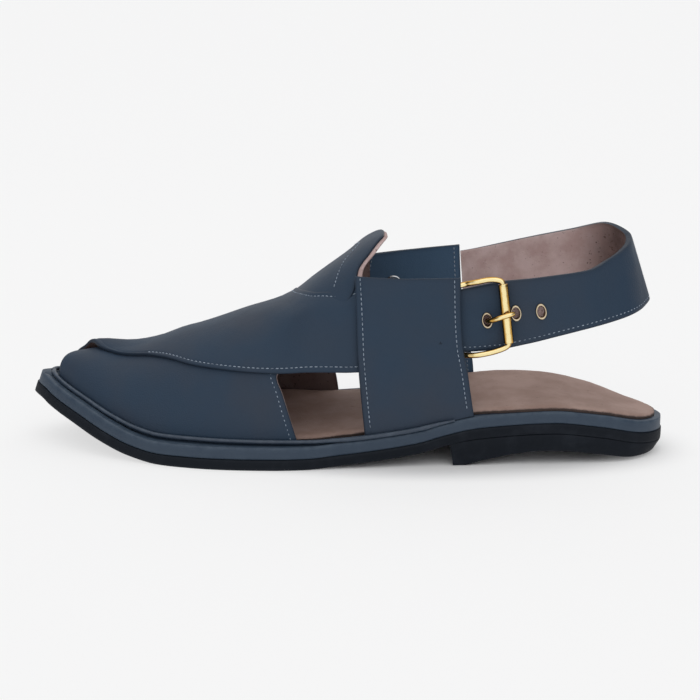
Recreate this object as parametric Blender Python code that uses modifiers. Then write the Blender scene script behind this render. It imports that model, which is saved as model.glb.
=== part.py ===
"""Peshawari chappal, left shoe: crossed front straps, two side wings, heel strap and buckle.

X runs from the toe (-X) to the heel (+X), -Y is the outer side with the buckle, Z is up.
"""
import math

import bmesh
import bpy
from mathutils import Matrix, Vector

MM = 0.001

# Sole. The tables below hold shares of these sizes.
LENGTH = 285.0 * MM
BALL_WIDTH = 98.0 * MM
TOE_SPRING = 20.5 * MM
HEEL_RISE = 13.9 * MM
OUTSOLE_THICKNESS = 4.7 * MM
MIDSOLE_THICKNESS = 5.0 * MM
MIDSOLE_INSET = 0.5 * MM
INSOLE_THICKNESS = 1.6 * MM
SOLE_EDGE_ROUND = 0.5 * MM
INSOLE_TOE_GAP = 3.6 * MM
INSOLE_BACK_GAP = 2.8 * MM
INSOLE_ARCH = 2.2 * MM
HEEL_ARCH = 5.6 * MM
HEEL_TAPER = 2.8 * MM
BREAST_SLANT = 1.5 * MM
WELT_RADIUS = 0.9 * MM

# Upper.
TOE_LEDGE = 13.0 * MM
HEEL_LEDGE = 5.0 * MM
FEATHER_SHARE = 0.81
INSTEP_RISE = 78.0 * MM
CREST_SHIFT = 2.0 * MM
UNDER_THICKNESS = 2.0 * MM
OVER_THICKNESS = 2.5 * MM
CROSSING_LIFT = 1.3 * MM
LIP_RISE = 2.2 * MM
WING_THICKNESS = 2.2 * MM
WING_TOP = 82.0 * MM

# Heel strap.
STRAP_THICKNESS = 3.0 * MM
STRAP_END_THICKNESS = 1.8 * MM
STRAP_EDGE_ROUND = 0.6 * MM
STRAP_TOP_HEIGHT = 98.5 * MM

# Buckle.
FRAME_WIRE = 1.2 * MM
ROLLER_RADIUS = 2.05 * MM
PRONG_RADIUS = 1.1 * MM
EYELET_RADIUS = 1.6 * MM
EYELET_WALL = 0.3 * MM
EYELET_FLANGE = 0.4 * MM
EYELET_OVAL = 1.5
WING_EYELET_RADIUS = 4.0 * MM

# Clearances between neighbours.
GAP = 0.3 * MM
INSOLE_SIDE_GAP = 0.6 * MM
WELD = 0.001 * MM

# Depths of the sole's layers above the underside.
MIDSOLE_DEPTH = OUTSOLE_THICKNESS + GAP
DECK_DEPTH = MIDSOLE_DEPTH + MIDSOLE_THICKNESS + GAP
TILT_TIP = 0.055
TILT_START = 0.12
TILT_END = 0.24

# Outline of the sole from above: share of the length from the toe, fullness of the outer side,
# fullness of the inner side, sideways shift of the middle line, all as shares of BALL_WIDTH.
OUTLINE = [
    (0.000, 0.300, 0.280, 0.000),
    (0.035, 0.405, 0.395, 0.000),
    (0.070, 0.462, 0.480, 0.000),
    (0.120, 0.510, 0.535, 0.000),
    (0.180, 0.540, 0.545, 0.000),
    (0.280, 0.551, 0.530, 0.000),
    (0.400, 0.520, 0.455, 0.000),
    (0.520, 0.452, 0.388, 0.000),
    (0.660, 0.411, 0.360, 0.000),
    (0.750, 0.408, 0.388, -0.002),
    (0.820, 0.418, 0.425, -0.012),
    (0.880, 0.440, 0.448, -0.026),
    (0.930, 0.470, 0.464, -0.038),
    (0.970, 0.500, 0.474, -0.045),
    (1.000, 0.520, 0.474, -0.050),
]

# Underside of the outsole: share of the length, share of TOE_SPRING, share of HEEL_RISE.
UNDERSIDE = [
    (0.000, 1.000, 0.00),
    (0.020, 0.946, 0.00),
    (0.036, 0.849, 0.00),
    (0.084, 0.605, 0.00),
    (0.134, 0.322, 0.00),
    (0.181, 0.117, 0.00),
    (0.228, 0.007, 0.00),
    (0.250, 0.000, 0.00),
    (0.450, 0.000, 0.00),
    (0.500, 0.000, 0.08),
    (0.563, 0.000, 0.22),
    (0.620, 0.000, 0.40),
    (0.654, 0.000, 0.60),
    (0.700, 0.000, 0.81),
    (0.745, 0.000, 0.89),
    (0.820, 0.000, 0.955),
    (0.893, 0.000, 0.80),
    (0.960, 0.000, 0.51),
    (1.000, 0.000, 0.415),
]

# Underside of the heel lift: share of its length from the breast, share of HEEL_ARCH.
HEEL_BREAST = 0.670
HEEL_TAPER_START = 0.75
HEEL_TREAD = 0.06
HEEL_UNDERSIDE = [
    (0.00, 0.00),
    (HEEL_TREAD, 0.00),
    (0.11, 0.24),
    (0.17, 0.44),
    (0.23, 0.65),
    (0.28, 0.79),
    (0.42, 1.00),
    (0.52, 0.95),
    (0.67, 0.66),
    (0.85, 0.23),
    (1.00, 0.20),
]

# Shares of the length where the insole widens behind the wings, outer side then inner side.
INSOLE_FLARE = [(0.61, 0.78), (0.64, 0.80)]
INSOLE_TIP = 0.042
WELT_END = 0.680

# Rise of the insole's inner edge under the arch: share of the length, share of INSOLE_ARCH.
INSOLE_RISE = [
    (0.30, 0.00),
    (0.42, 0.90),
    (0.60, 1.00),
    (0.73, 0.95),
    (0.81, 0.55),
    (0.90, 0.30),
    (1.00, 0.00),
]

# Crest of the last: share of the length, rise above the deck as a share of INSTEP_RISE,
# squareness of the section, flare of its top as a share of INSTEP_RISE.
CREST = [
    (0.0456, 0.034, 2.20, 0.000),
    (0.049, 0.082, 2.30, 0.000),
    (0.056, 0.116, 2.40, 0.000),
    (0.068, 0.147, 2.40, 0.000),
    (0.086, 0.182, 2.40, 0.000),
    (0.114, 0.233, 2.30, 0.000),
    (0.154, 0.292, 2.20, 0.000),
    (0.193, 0.368, 2.10, 0.000),
    (0.245, 0.460, 2.10, 0.000),
    (0.271, 0.486, 2.10, 0.000),
    (0.347, 0.583, 2.20, 0.000),
    (0.384, 0.633, 2.30, 0.000),
    (0.405, 0.668, 2.35, 0.006),
    (0.423, 0.708, 2.45, 0.009),
    (0.458, 0.808, 2.80, 0.015),
    (0.508, 0.925, 3.20, 0.025),
    (0.537, 1.000, 3.50, 0.032),
    (0.560, 1.030, 3.80, 0.038),
    (0.605, 1.079, 4.20, 0.045),
    (0.718, 1.013, 4.60, 0.050),
]

# Straps lie on the last. Each row: share along the strap, front edge (share of the length,
# turn round the last from -1 outer to +1 inner), rear edge (the same), lift share.
OVER_STRAP = [
    (0.00, 0.054, 1.000, 0.486, 1.000, 0.12),
    (0.10, 0.059, 0.650, 0.480, 0.900, 0.18),
    (0.20, 0.070, 0.330, 0.452, 0.720, 0.35),
    (0.27, 0.085, 0.140, 0.438, 0.550, 0.70),
    (0.31, 0.096, 0.020, 0.431, 0.420, 1.00),
    (0.37, 0.114, -0.155, 0.427, 0.200, 1.00),
    (0.45, 0.138, -0.226, 0.431, 0.010, 1.00),
    (0.55, 0.196, -0.302, 0.438, -0.135, 1.00),
    (0.65, 0.268, -0.483, 0.449, -0.250, 1.00),
    (0.75, 0.346, -0.598, 0.463, -0.340, 1.00),
    (0.85, 0.422, -0.670, 0.485, -0.409, 0.75),
    (0.95, 0.505, -0.752, 0.509, -0.466, 0.04),
    (1.00, 0.552, -0.790, 0.552, -0.520, 0.00),
]
UNDER_STRAP = [
    (0.00, 0.050, -1.000, 0.437, -1.000, 0.00),
    (0.07, 0.051, -0.600, 0.426, -0.880, 0.00),
    (0.14, 0.056, -0.200, 0.415, -0.760, 0.00),
    (0.21, 0.066, 0.000, 0.406, -0.670, 0.00),
    (0.28, 0.083, 0.010, 0.420, -0.610, 0.00),
    (0.35, 0.104, 0.015, 0.486, -0.555, 0.00),
    (0.42, 0.125, 0.040, 0.530, -0.490, 0.00),
    (0.48, 0.152, 0.130, 0.532, -0.412, 0.00),
    (0.54, 0.185, 0.260, 0.542, -0.360, 0.00),
    (0.60, 0.225, 0.360, 0.554, -0.290, 0.00),
    (0.65, 0.265, 0.440, 0.563, -0.200, 0.00),
    (0.69, 0.305, 0.500, 0.563, -0.060, 0.00),
    (0.73, 0.345, 0.560, 0.560, 0.080, 0.00),
    (0.78, 0.385, 0.610, 0.546, 0.240, 0.00),
    (0.84, 0.430, 0.680, 0.534, 0.385, 0.00),
    (0.91, 0.485, 0.750, 0.537, 0.470, 0.00),
    (0.96, 0.515, 0.780, 0.537, 0.520, 0.00),
    (1.00, 0.546, 0.800, 0.537, 0.570, 0.00),
]
LIP_AT = 0.31
LIP_SPREAD = 0.045
LIP_DEPTH = 0.35

# Wings: share down the wing, front edge (share of the length, share of the height from the deck
# to WING_TOP), rear edge (the same), lift share.
OUTER_WING = [
    (0.00, 0.5275, 0.968, 0.673, 0.980, 0.0),
    (0.28, 0.5255, 0.733, 0.675, 0.700, 0.0),
    (0.52, 0.5250, 0.554, 0.679, 0.500, 0.0),
    (0.70, 0.5265, 0.414, 0.686, 0.340, 0.0),
    (0.88, 0.531, 0.200, 0.693, 0.140, 0.0),
    (1.00, 0.536, 0.000, 0.698, 0.000, 0.0),
]
INNER_WING = [
    (0.00, 0.535, 0.970, 0.683, 1.055, 0.0),
    (0.28, 0.525, 0.750, 0.687, 0.780, 0.0),
    (0.52, 0.521, 0.560, 0.693, 0.530, 0.0),
    (0.70, 0.522, 0.410, 0.700, 0.340, 0.0),
    (0.88, 0.530, 0.200, 0.710, 0.140, 0.0),
    (1.00, 0.539, 0.000, 0.713, 0.000, 0.0),
]
OUTER_WING_LIFT = OVER_THICKNESS + 2.0 * GAP
INNER_WING_LIFT = UNDER_THICKNESS + 2.0 * GAP

# Heel strap: top edge (share of the length, share of the half width), its height as a share of
# STRAP_TOP_HEIGHT, then the same three for the bottom edge. Rows run from the buckle side
# round the heel to the inner wing.
HEEL_STRAP = [
    (0.667, -1.00, 0.761, 0.667, -1.00, 0.503),
    (0.686, -1.00, 0.775, 0.686, -1.00, 0.503),
    (0.732, -1.00, 0.804, 0.732, -1.00, 0.512),
    (0.777, -0.99, 0.818, 0.777, -1.00, 0.540),
    (0.818, -0.96, 0.833, 0.822, -0.97, 0.573),
    (0.868, -0.83, 0.853, 0.865, -0.91, 0.603),
    (0.896, -0.63, 0.886, 0.904, -0.77, 0.626),
    (0.920, -0.45, 0.920, 0.934, -0.62, 0.646),
    (0.936, -0.22, 0.948, 0.960, -0.33, 0.664),
    (0.941, 0.06, 0.970, 0.974, -0.03, 0.684),
    (0.933, 0.36, 0.990, 0.966, 0.30, 0.688),
    (0.912, 0.63, 1.004, 0.938, 0.62, 0.686),
    (0.865, 0.86, 0.964, 0.876, 0.90, 0.670),
    (0.806, 0.94, 0.922, 0.809, 0.97, 0.640),
    (0.749, 0.99, 0.880, 0.749, 1.00, 0.609),
    (0.703, 1.00, 0.848, 0.706, 1.00, 0.588),
    (0.6848, 1.00, 0.838, 0.6928, 1.00, 0.580),
]
WING_REAR_SHARE = 0.690
SKIVE_START = 14.0

# Eyelets: row position along HEEL_STRAP, share of the strap height.
EYELETS = [
    ("eyelet_1", 1.66, 0.46),
    ("eyelet_2", 2.54, 0.51),
    ("eyelet_3", 3.38, 0.47),
]

# Buckle frame wire: share of the length, height as a share of STRAP_TOP_HEIGHT, and how far out
# it stands: 0 under the wing, 1 at the roller bar. The first and last rows end the bar.
BUCKLE_FRAME = [
    (0.7355, 0.8000, 1.00),
    (0.7320, 0.8125, 0.97),
    (0.7220, 0.8170, 0.88),
    (0.7120, 0.8145, 0.82),
    (0.7000, 0.8065, 0.72),
    (0.6900, 0.7990, 0.40),
    (0.6810, 0.7910, 0.00),
    (0.6680, 0.7800, 0.00),
    (0.6590, 0.7640, 0.00),
    (0.6540, 0.7410, 0.00),
    (0.6540, 0.5300, 0.00),
    (0.6590, 0.4990, 0.00),
    (0.6680, 0.4855, 0.00),
    (0.6820, 0.4845, 0.00),
    (0.6920, 0.4865, 0.40),
    (0.7030, 0.4915, 0.74),
    (0.7210, 0.5035, 0.84),
    (0.7350, 0.5180, 0.93),
    (0.7440, 0.5320, 0.98),
    (0.7470, 0.5480, 1.00),
]

# Prong over the roller: steps along the strap, up and outward, in roller radii from eyelet 1.
PRONG = [
    (0.00, 0.00, -0.25),
    (0.00, 0.00, 0.55),
    (0.28, 0.06, 1.35),
    (1.05, 0.30, 2.25),
    (2.30, 0.66, 2.95),
    (3.75, 0.96, 3.17),
    (4.60, 1.06, 3.05),
    (5.20, 1.08, 2.75),
]
EYELET_CAP = 0.5 * MM
EYELET_STEPS = 24
WING_EYELET_SHARE = 0.576
WING_EYELET_TURN = 0.625

# The crest's sideways shift is full where the half width passes this share of BALL_WIDTH.
CREST_SHIFT_FROM = 0.2

SOLE_STATIONS = 36
STRAP_STATIONS = 44
STRAP_LANES = 12
WING_LANES = 14
HEEL_STRAP_STEPS = 4
WELT_STATIONS = 34


def table_value(rows, column, at):
    """Smooth value of a table column, never overshooting its rows."""
    keys = [row[0] for row in rows]
    values = [row[column] for row in rows]
    if at <= keys[0]:
        return values[0]
    if at >= keys[-1]:
        return values[-1]
    slopes = [(values[i + 1] - values[i]) / (keys[i + 1] - keys[i]) for i in range(len(keys) - 1)]

    def tangent(index):
        if index == 0:
            return slopes[0]
        if index == len(keys) - 1:
            return slopes[-1]
        before = slopes[index - 1]
        after = slopes[index]
        if before * after <= 0.0:
            return 0.0
        return 2.0 * before * after / (before + after)

    index = max(i for i in range(len(keys) - 1) if keys[i] <= at)
    width = keys[index + 1] - keys[index]
    t = (at - keys[index]) / width
    return (
        (2 * t ** 3 - 3 * t ** 2 + 1) * values[index]
        + (t ** 3 - 2 * t ** 2 + t) * width * tangent(index)
        + (3 * t ** 2 - 2 * t ** 3) * values[index + 1]
        + (t ** 3 - t ** 2) * width * tangent(index + 1)
    )


def ease(at, start, end):
    """Smooth step from 0 at start to 1 at end."""
    t = min(max((at - start) / (end - start), 0.0), 1.0)
    return t * t * (3.0 - 2.0 * t)


def share_of(x):
    return x / LENGTH + 0.5


def half_width(share, side):
    """Half width of the sole, zero at both tips."""
    inside = min(max(share, 0.0), 1.0)
    column = 1 if side < 0 else 2
    return BALL_WIDTH * table_value(OUTLINE, column, inside) * math.sqrt(4.0 * inside * (1.0 - inside))


def middle_line(share):
    """Sideways place of the middle line, which bends outward at the heel."""
    return BALL_WIDTH * table_value(OUTLINE, 3, share)


def edge_y(x, side, inset):
    """Outline of a sole layer drawn in by the inset."""
    share = (x + LENGTH / 2 - inset) / (LENGTH - 2 * inset)
    half = half_width(share, side) * (1.0 - 2.0 * inset / BALL_WIDTH)
    return middle_line(share) + side * half


def underside(x):
    share = share_of(x)
    toe = TOE_SPRING * table_value(UNDERSIDE, 1, share)
    return toe + HEEL_RISE * table_value(UNDERSIDE, 2, share)


def toe_tilt(x):
    """Angle at which the sole rises to the toe, steady at the tip and zero behind the toe."""
    share = share_of(x)
    if share >= TILT_END:
        return 0.0
    step = LENGTH / 200
    spot = max(x, LENGTH * (TILT_TIP - 0.5))
    angle = math.atan2(underside(spot - step) - underside(spot + step), 2.0 * step)
    return angle * (1.0 - ease(share, TILT_START, TILT_END))


def sole_spot(x, y, depth):
    """Point of the sole at a depth square to its underside."""
    tilt = toe_tilt(x)
    return Vector((x + depth * math.sin(tilt), y, underside(x) + depth * math.cos(tilt)))


def height_over(x, depth):
    """Height at x of the surface that lies at a depth above the underside."""
    start = x
    for _ in range(5):
        start = x - depth * math.sin(toe_tilt(start))
    return sole_spot(start, 0.0, depth).z


def deck(x):
    """Height where the upper and the insole rest on the midsole."""
    return height_over(x, DECK_DEPTH)


def feather(x, side):
    """Half width of the last where it meets the deck."""
    share = (x + LENGTH / 2 - TOE_LEDGE) / (LENGTH - TOE_LEDGE - HEEL_LEDGE)
    return FEATHER_SHARE * half_width(share, side)


def last_point(x, around):
    """Point of the last surface; around runs -1 outer feather, 0 crest, +1 inner feather."""
    side = -1 if around < 0 else 1
    share = share_of(x)
    rise = INSTEP_RISE * table_value(CREST, 1, share)
    squareness = table_value(CREST, 2, share)
    flare = INSTEP_RISE * table_value(CREST, 3, share)
    turn = min(abs(around), 1.0) * math.pi / 2
    reach = (math.sin(turn) ** squareness + math.cos(turn) ** squareness) ** (-1.0 / squareness)
    height = rise * reach * math.cos(turn)
    half = feather(x, side)
    wide = (half + flare * height / INSTEP_RISE) * reach * math.sin(turn)
    shift = CREST_SHIFT * math.cos(turn) ** 2 * min(1.0, half / (CREST_SHIFT_FROM * BALL_WIDTH))
    return Vector((x, side * wide + shift, deck(x) + height))


def skin_point(x, around, lift):
    """Point at a lift outside the last, square to its surface."""
    step_x = LENGTH / 700
    step_around = 0.004
    along = last_point(x + step_x, around) - last_point(x - step_x, around)
    ahead = min(around + step_around, 1.0)
    behind = max(around - step_around, -1.0)
    across = last_point(x, ahead) - last_point(x, behind)
    normal = along.cross(across).normalized()
    base = last_point(x, around)
    if normal.dot(base - Vector((x, 0.0, deck(x)))) < 0.0:
        normal = -normal
    point = base + normal * lift
    point.z = max(point.z, deck(point.x))
    return point


def around_at_height(x, height, side, lift):
    """Turn round the last where its lifted surface reaches a height."""
    low = 0.0
    high = 1.0
    for _ in range(24):
        middle = (low + high) / 2
        if skin_point(x, side * middle, lift).z > height:
            low = middle
        else:
            high = middle
    return side * low


def wall_y(x, height, side, lift):
    """Sideways reach of the lifted last at a height."""
    return skin_point(x, around_at_height(x, height, side, lift), lift).y


def place_object(name, mesh_data, material):
    thing = bpy.data.objects.new(name, mesh_data)
    shoe.objects.link(thing)
    thing.data.materials.clear()
    thing.data.materials.append(material)
    return thing


def finish_mesh(name, soup, material, sharp_angle):
    """Weld, orient and shade a bmesh, then place it as an object."""
    bmesh.ops.remove_doubles(soup, verts=soup.verts[:], dist=WELD)
    bmesh.ops.dissolve_degenerate(soup, edges=soup.edges[:], dist=WELD)
    bmesh.ops.recalc_face_normals(soup, faces=soup.faces[:])
    if soup.calc_volume(signed=True) < 0.0:
        bmesh.ops.reverse_faces(soup, faces=soup.faces[:])
    data = bpy.data.meshes.new(name)
    soup.to_mesh(data)
    soup.free()
    thing = place_object(name, data, material)
    data.shade_smooth()
    data.set_sharp_from_angle(angle=math.radians(sharp_angle))
    return thing


def loft(name, sections, material, sharp_angle=35.0):
    """Closed solid through sections of equal point count."""
    soup = bmesh.new()
    rings = [[soup.verts.new(point) for point in section] for section in sections]
    count = len(sections[0])
    for first, second in zip(rings, rings[1:]):
        for i in range(count):
            j = (i + 1) % count
            soup.faces.new((first[i], first[j], second[j], second[i]))
    soup.faces.new(rings[0])
    soup.faces.new(rings[-1][::-1])
    return finish_mesh(name, soup, material, sharp_angle)


def strap_spot(edges, across):
    """Place on the last between a strap's edges."""
    x = LENGTH * (edges[0] + (edges[2] - edges[0]) * across - 0.5)
    return x, edges[1] + (edges[3] - edges[1]) * across


def wing_spot(side, lift):
    """Same for a wing, whose edges are given by height."""

    def spot(edges, across):
        x = LENGTH * (edges[0] + (edges[2] - edges[0]) * across - 0.5)
        rise = edges[1] + (edges[3] - edges[1]) * across
        height = deck(x) + rise * (WING_TOP - deck(x))
        return x, around_at_height(x, height, side, lift)

    return spot


def panel(name, rows, spot, lift, thickness, counts, rise=None):
    """Leather panel on the last between the front and rear edges of a table."""
    stations, lanes = counts
    soup = bmesh.new()
    inner = []
    outer = []
    for i in range(stations + 1):
        along = i / stations
        edges = [table_value(rows, column, along) for column in (1, 2, 3, 4)]
        extra = table_value(rows, 5, along) * CROSSING_LIFT
        inner_row = []
        outer_row = []
        for j in range(lanes + 1):
            across = j / lanes
            x, around = spot(edges, across)
            base = lift + extra + (rise(along, across) if rise else 0.0)
            inner_row.append(soup.verts.new(skin_point(x, around, base)))
            outer_row.append(soup.verts.new(skin_point(x, around, base + thickness)))
        inner.append(inner_row)
        outer.append(outer_row)
    for i in range(stations):
        for j in range(lanes):
            for sheet in (inner, outer):
                corners = (sheet[i][j], sheet[i + 1][j], sheet[i + 1][j + 1], sheet[i][j + 1])
                soup.faces.new(corners)
        for j in (0, lanes):
            soup.faces.new((inner[i][j], inner[i + 1][j], outer[i + 1][j], outer[i][j]))
    for i in (0, stations):
        for j in range(lanes):
            soup.faces.new((inner[i][j], inner[i][j + 1], outer[i][j + 1], outer[i][j]))
    return finish_mesh(name, soup, navy_leather, 40.0)


def lip(along, across):
    """Raised front lip of the over strap above the toe opening."""
    near = math.exp(-((along - LIP_AT) / LIP_SPREAD) ** 2)
    return LIP_RISE * near * (1.0 - ease(across, 0.0, LIP_DEPTH))


def bar_mesh(name, points, radius, cyclic, material):
    """Round wire through points."""
    curve = bpy.data.curves.new(name, "CURVE")
    curve.dimensions = "3D"
    curve.bevel_depth = radius
    curve.bevel_resolution = 2
    curve.use_fill_caps = not cyclic
    spline = curve.splines.new("POLY")
    spline.points.add(len(points) - 1)
    for spot, point in zip(spline.points, points):
        spot.co = (point.x, point.y, point.z, 1.0)
    spline.use_cyclic_u = cyclic
    holder = bpy.data.objects.new(name + "_path", curve)
    shoe.objects.link(holder)
    bpy.context.view_layer.update()
    data = bpy.data.meshes.new_from_object(holder)
    soup = bmesh.new()
    soup.from_mesh(data)
    bpy.data.objects.remove(holder)
    bpy.data.meshes.remove(data)
    return finish_mesh(name, soup, material, 50.0)


def turned(name, profile, steps, material):
    """Closed profile of (radius, height) points turned round Z."""
    data = bpy.data.meshes.new(name)
    count = len(profile)
    edges = [(i, (i + 1) % count) for i in range(count)]
    data.from_pydata([(radius, 0.0, height) for radius, height in profile], edges, [])
    thing = place_object(name, data, material)
    screw = thing.modifiers.new("turn", "SCREW")
    screw.axis = "Z"
    screw.steps = steps
    screw.render_steps = steps
    screw.use_merge_vertices = True
    screw.merge_threshold = 0.00001
    bpy.context.view_layer.update()
    turned_data = bpy.data.meshes.new_from_object(
        thing.evaluated_get(bpy.context.evaluated_depsgraph_get())
    )
    bpy.data.objects.remove(thing)
    bpy.data.meshes.remove(data)
    soup = bmesh.new()
    soup.from_mesh(turned_data)
    bpy.data.meshes.remove(turned_data)
    return finish_mesh(name, soup, material, 40.0)


def lay(thing, frame):
    """Move a mesh into a frame, with the transform in its points."""
    thing.data.transform(frame)
    thing.data.update()


def boolean(thing, other, operation):
    """Apply one exact Boolean and drop the other object."""
    change = thing.modifiers.new("join", "BOOLEAN")
    change.operation = operation
    change.solver = "EXACT"
    change.object = other
    bpy.context.view_layer.update()
    result = bpy.data.meshes.new_from_object(
        thing.evaluated_get(bpy.context.evaluated_depsgraph_get())
    )
    material = thing.data.materials[0]
    name = thing.name
    old = thing.data
    thing.modifiers.clear()
    soup = bmesh.new()
    soup.from_mesh(result)
    bpy.data.objects.remove(thing)
    bpy.data.objects.remove(other)
    bpy.data.meshes.remove(old)
    bpy.data.meshes.remove(result)
    return finish_mesh(name, soup, material, 40.0)


def make_material(name, colour, roughness, metallic):
    material = bpy.data.materials.new(name)
    material.use_nodes = True
    shader = material.node_tree.nodes["Principled BSDF"]
    shader.inputs["Base Color"].default_value = (*colour, 1.0)
    shader.inputs["Roughness"].default_value = roughness
    shader.inputs["Metallic"].default_value = metallic
    material.diffuse_color = (*colour, 1.0)
    return material


for old_object in list(bpy.data.objects):
    bpy.data.objects.remove(old_object)

shoe = bpy.data.collections.new("peshawari_chappal")
bpy.context.scene.collection.children.link(shoe)
cutters = bpy.data.collections.new("cutters")
bpy.context.scene.collection.children.link(cutters)

navy_leather = make_material("navy_leather", (0.033, 0.050, 0.082), 0.55, 0.0)
tan_leather = make_material("tan_leather", (0.270, 0.195, 0.170), 0.75, 0.0)
edge_paint = make_material("edge_paint", (0.042, 0.056, 0.088), 0.45, 0.0)
black_rubber = make_material("black_rubber", (0.012, 0.014, 0.018), 0.65, 0.0)
brass = make_material("brass", (0.780, 0.550, 0.200), 0.22, 1.0)
steel = make_material("steel", (0.600, 0.600, 0.620), 0.28, 1.0)


def layer_section(x, low, high, outer, inner):
    """Eight-point section of a sole layer with eased corners, low and high as depths."""
    ease_in = min(SOLE_EDGE_ROUND, (high - low) / 3)
    trim = min(ease_in, (inner - outer) / 4)
    return [
        sole_spot(x, outer + trim, low),
        sole_spot(x, inner - trim, low),
        sole_spot(x, inner, low + ease_in),
        sole_spot(x, inner, high - ease_in),
        sole_spot(x, inner - trim, high),
        sole_spot(x, outer + trim, high),
        sole_spot(x, outer, high - ease_in),
        sole_spot(x, outer, low + ease_in),
    ]


def sole_layer(name, inset, low, high, material):
    """Layer under the whole foot, stations closer together at the round tips."""
    sections = []
    for i in range(SOLE_STATIONS + 1):
        x = -math.cos(math.pi * i / SOLE_STATIONS) * (LENGTH / 2 - inset)
        sections.append(layer_section(x, low, high, edge_y(x, -1, inset), edge_y(x, 1, inset)))
    return loft(name, sections, material)


sole_layer("outsole", 0.0, 0.0, OUTSOLE_THICKNESS, black_rubber)
sole_layer("midsole", MIDSOLE_INSET, MIDSOLE_DEPTH, MIDSOLE_DEPTH + MIDSOLE_THICKNESS, edge_paint)

# Heel lift under the outsole, its front face leaning forward at the top.
heel_sections = []
heel_front = LENGTH * (HEEL_BREAST - 0.5)
heel_parts = [0.0]
for i in range(SOLE_STATIONS // 2 + 1):
    heel_parts.append(HEEL_TREAD + (1.0 - HEEL_TREAD) * math.sin(math.pi * i / SOLE_STATIONS))
for i, part in enumerate(heel_parts):
    x = heel_front + (LENGTH / 2 - heel_front) * part
    low = HEEL_ARCH * table_value(HEEL_UNDERSIDE, 1, part)
    high = underside(x) - GAP
    section = layer_section(
        x, low - underside(x), -GAP, edge_y(x, -1, 0.0), edge_y(x, 1, 0.0)
    )
    taper = HEEL_TAPER * ease(part, HEEL_TAPER_START, 1.0)
    for point in section:
        point.x -= taper * (high - point.z) / (high - low)
        if i == 0:
            point.x -= BREAST_SLANT * (point.z - low) / (high - low)
            point.z = min(point.z, underside(point.x) - GAP)
    heel_sections.append(section)
loft("heel_lift", heel_sections, black_rubber)


# Upper inner corners of a layer_section, which the arch of the insole lifts.
ARCH_CORNERS = (3, 4)


def insole_y(x, side):
    """Insole edge: inside the last in front, out to the midsole edge behind the wings."""
    front = side * (feather(x, side) - INSOLE_SIDE_GAP)
    rear = edge_y(x, side, MIDSOLE_INSET) - side * 2.0 * INSOLE_SIDE_GAP
    flare_start, flare_end = INSOLE_FLARE[0 if side < 0 else 1]
    blend = ease(share_of(x), flare_start, flare_end)
    return front + (rear - front) * blend


insole_sections = []
insole_front = -LENGTH / 2 + TOE_LEDGE + INSOLE_TOE_GAP
insole_back = LENGTH / 2 - MIDSOLE_INSET - INSOLE_BACK_GAP
for i in range(SOLE_STATIONS + 1):
    part = (1.0 - math.cos(math.pi * i / SOLE_STATIONS)) / 2
    x = insole_front + (insole_back - insole_front) * part
    fade = math.sqrt(min(1.0, part / INSOLE_TIP))
    fade_back = math.sqrt(min(1.0, (1.0 - part) / INSOLE_TIP))
    middle = middle_line(share_of(x))
    outer = middle + (insole_y(x, -1) - middle) * fade * fade_back
    inner = middle + (insole_y(x, 1) - middle) * fade * fade_back
    section = layer_section(x, DECK_DEPTH, DECK_DEPTH + INSOLE_THICKNESS, outer, inner)
    arch = INSOLE_ARCH * table_value(INSOLE_RISE, 1, share_of(x))
    for k in ARCH_CORNERS:
        section[k].z += arch
    insole_sections.append(section)
loft("insole", insole_sections, tan_leather)

strap_counts = (STRAP_STATIONS, STRAP_LANES)
wing_counts = (WING_LANES, WING_LANES)
under = panel("upper", UNDER_STRAP, strap_spot, GAP, UNDER_THICKNESS, strap_counts)
over = panel("over_strap", OVER_STRAP, strap_spot, GAP, OVER_THICKNESS, strap_counts, lip)
boolean(under, over, "UNION")
outer_spot = wing_spot(-1, OUTER_WING_LIFT)
inner_spot = wing_spot(1, INNER_WING_LIFT)
panel("wing_outer", OUTER_WING, outer_spot, OUTER_WING_LIFT, WING_THICKNESS, wing_counts)
panel("wing_inner", INNER_WING, inner_spot, INNER_WING_LIFT, WING_THICKNESS, wing_counts)


def welt_reach(share, side):
    """How far outside the feather the middle of the welt runs."""
    if side < 0:
        front = GAP + UNDER_THICKNESS
        wing = OUTER_WING_LIFT + WING_THICKNESS
    else:
        front = GAP + OVER_STRAP[0][5] * CROSSING_LIFT + OVER_THICKNESS
        wing = INNER_WING_LIFT + WING_THICKNESS
    return front + (wing - front) * ease(share, 0.44, 0.53) + GAP + WELT_RADIUS


# Welt bead on the midsole, from the outer wing round the toe to the inner wing.
feather_line = []
last_toe = -LENGTH / 2 + TOE_LEDGE
for i in range(-WELT_STATIONS, WELT_STATIONS + 1):
    part = (i / WELT_STATIONS) ** 2
    side = -1 if i < 0 else 1
    x = last_toe + (LENGTH * (WELT_END - 0.5) - last_toe) * part
    feather_line.append((Vector((x, side * feather(x, side), 0.0)), side))
welt_points = []
for i in range(1, len(feather_line) - 1):
    here, side = feather_line[i]
    run = feather_line[i + 1][0] - feather_line[i - 1][0]
    outward = Vector((-run.y, run.x, 0.0)).normalized()
    spot = here + outward * welt_reach(share_of(here.x), side)
    spot.z = deck(spot.x) + WELT_RADIUS
    welt_points.append(spot)
bar_mesh("welt", welt_points, WELT_RADIUS, False, navy_leather)


def strap_reach(height, side):
    """Outer face of the heel strap inside the outer wing and in line with the inner wing."""
    if side < 0:
        lift = OUTER_WING_LIFT - GAP
    else:
        lift = INNER_WING_LIFT + (WING_THICKNESS + STRAP_END_THICKNESS) / 2
    return abs(wall_y(LENGTH * (WING_REAR_SHARE - 0.5), height, side, lift))


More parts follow.
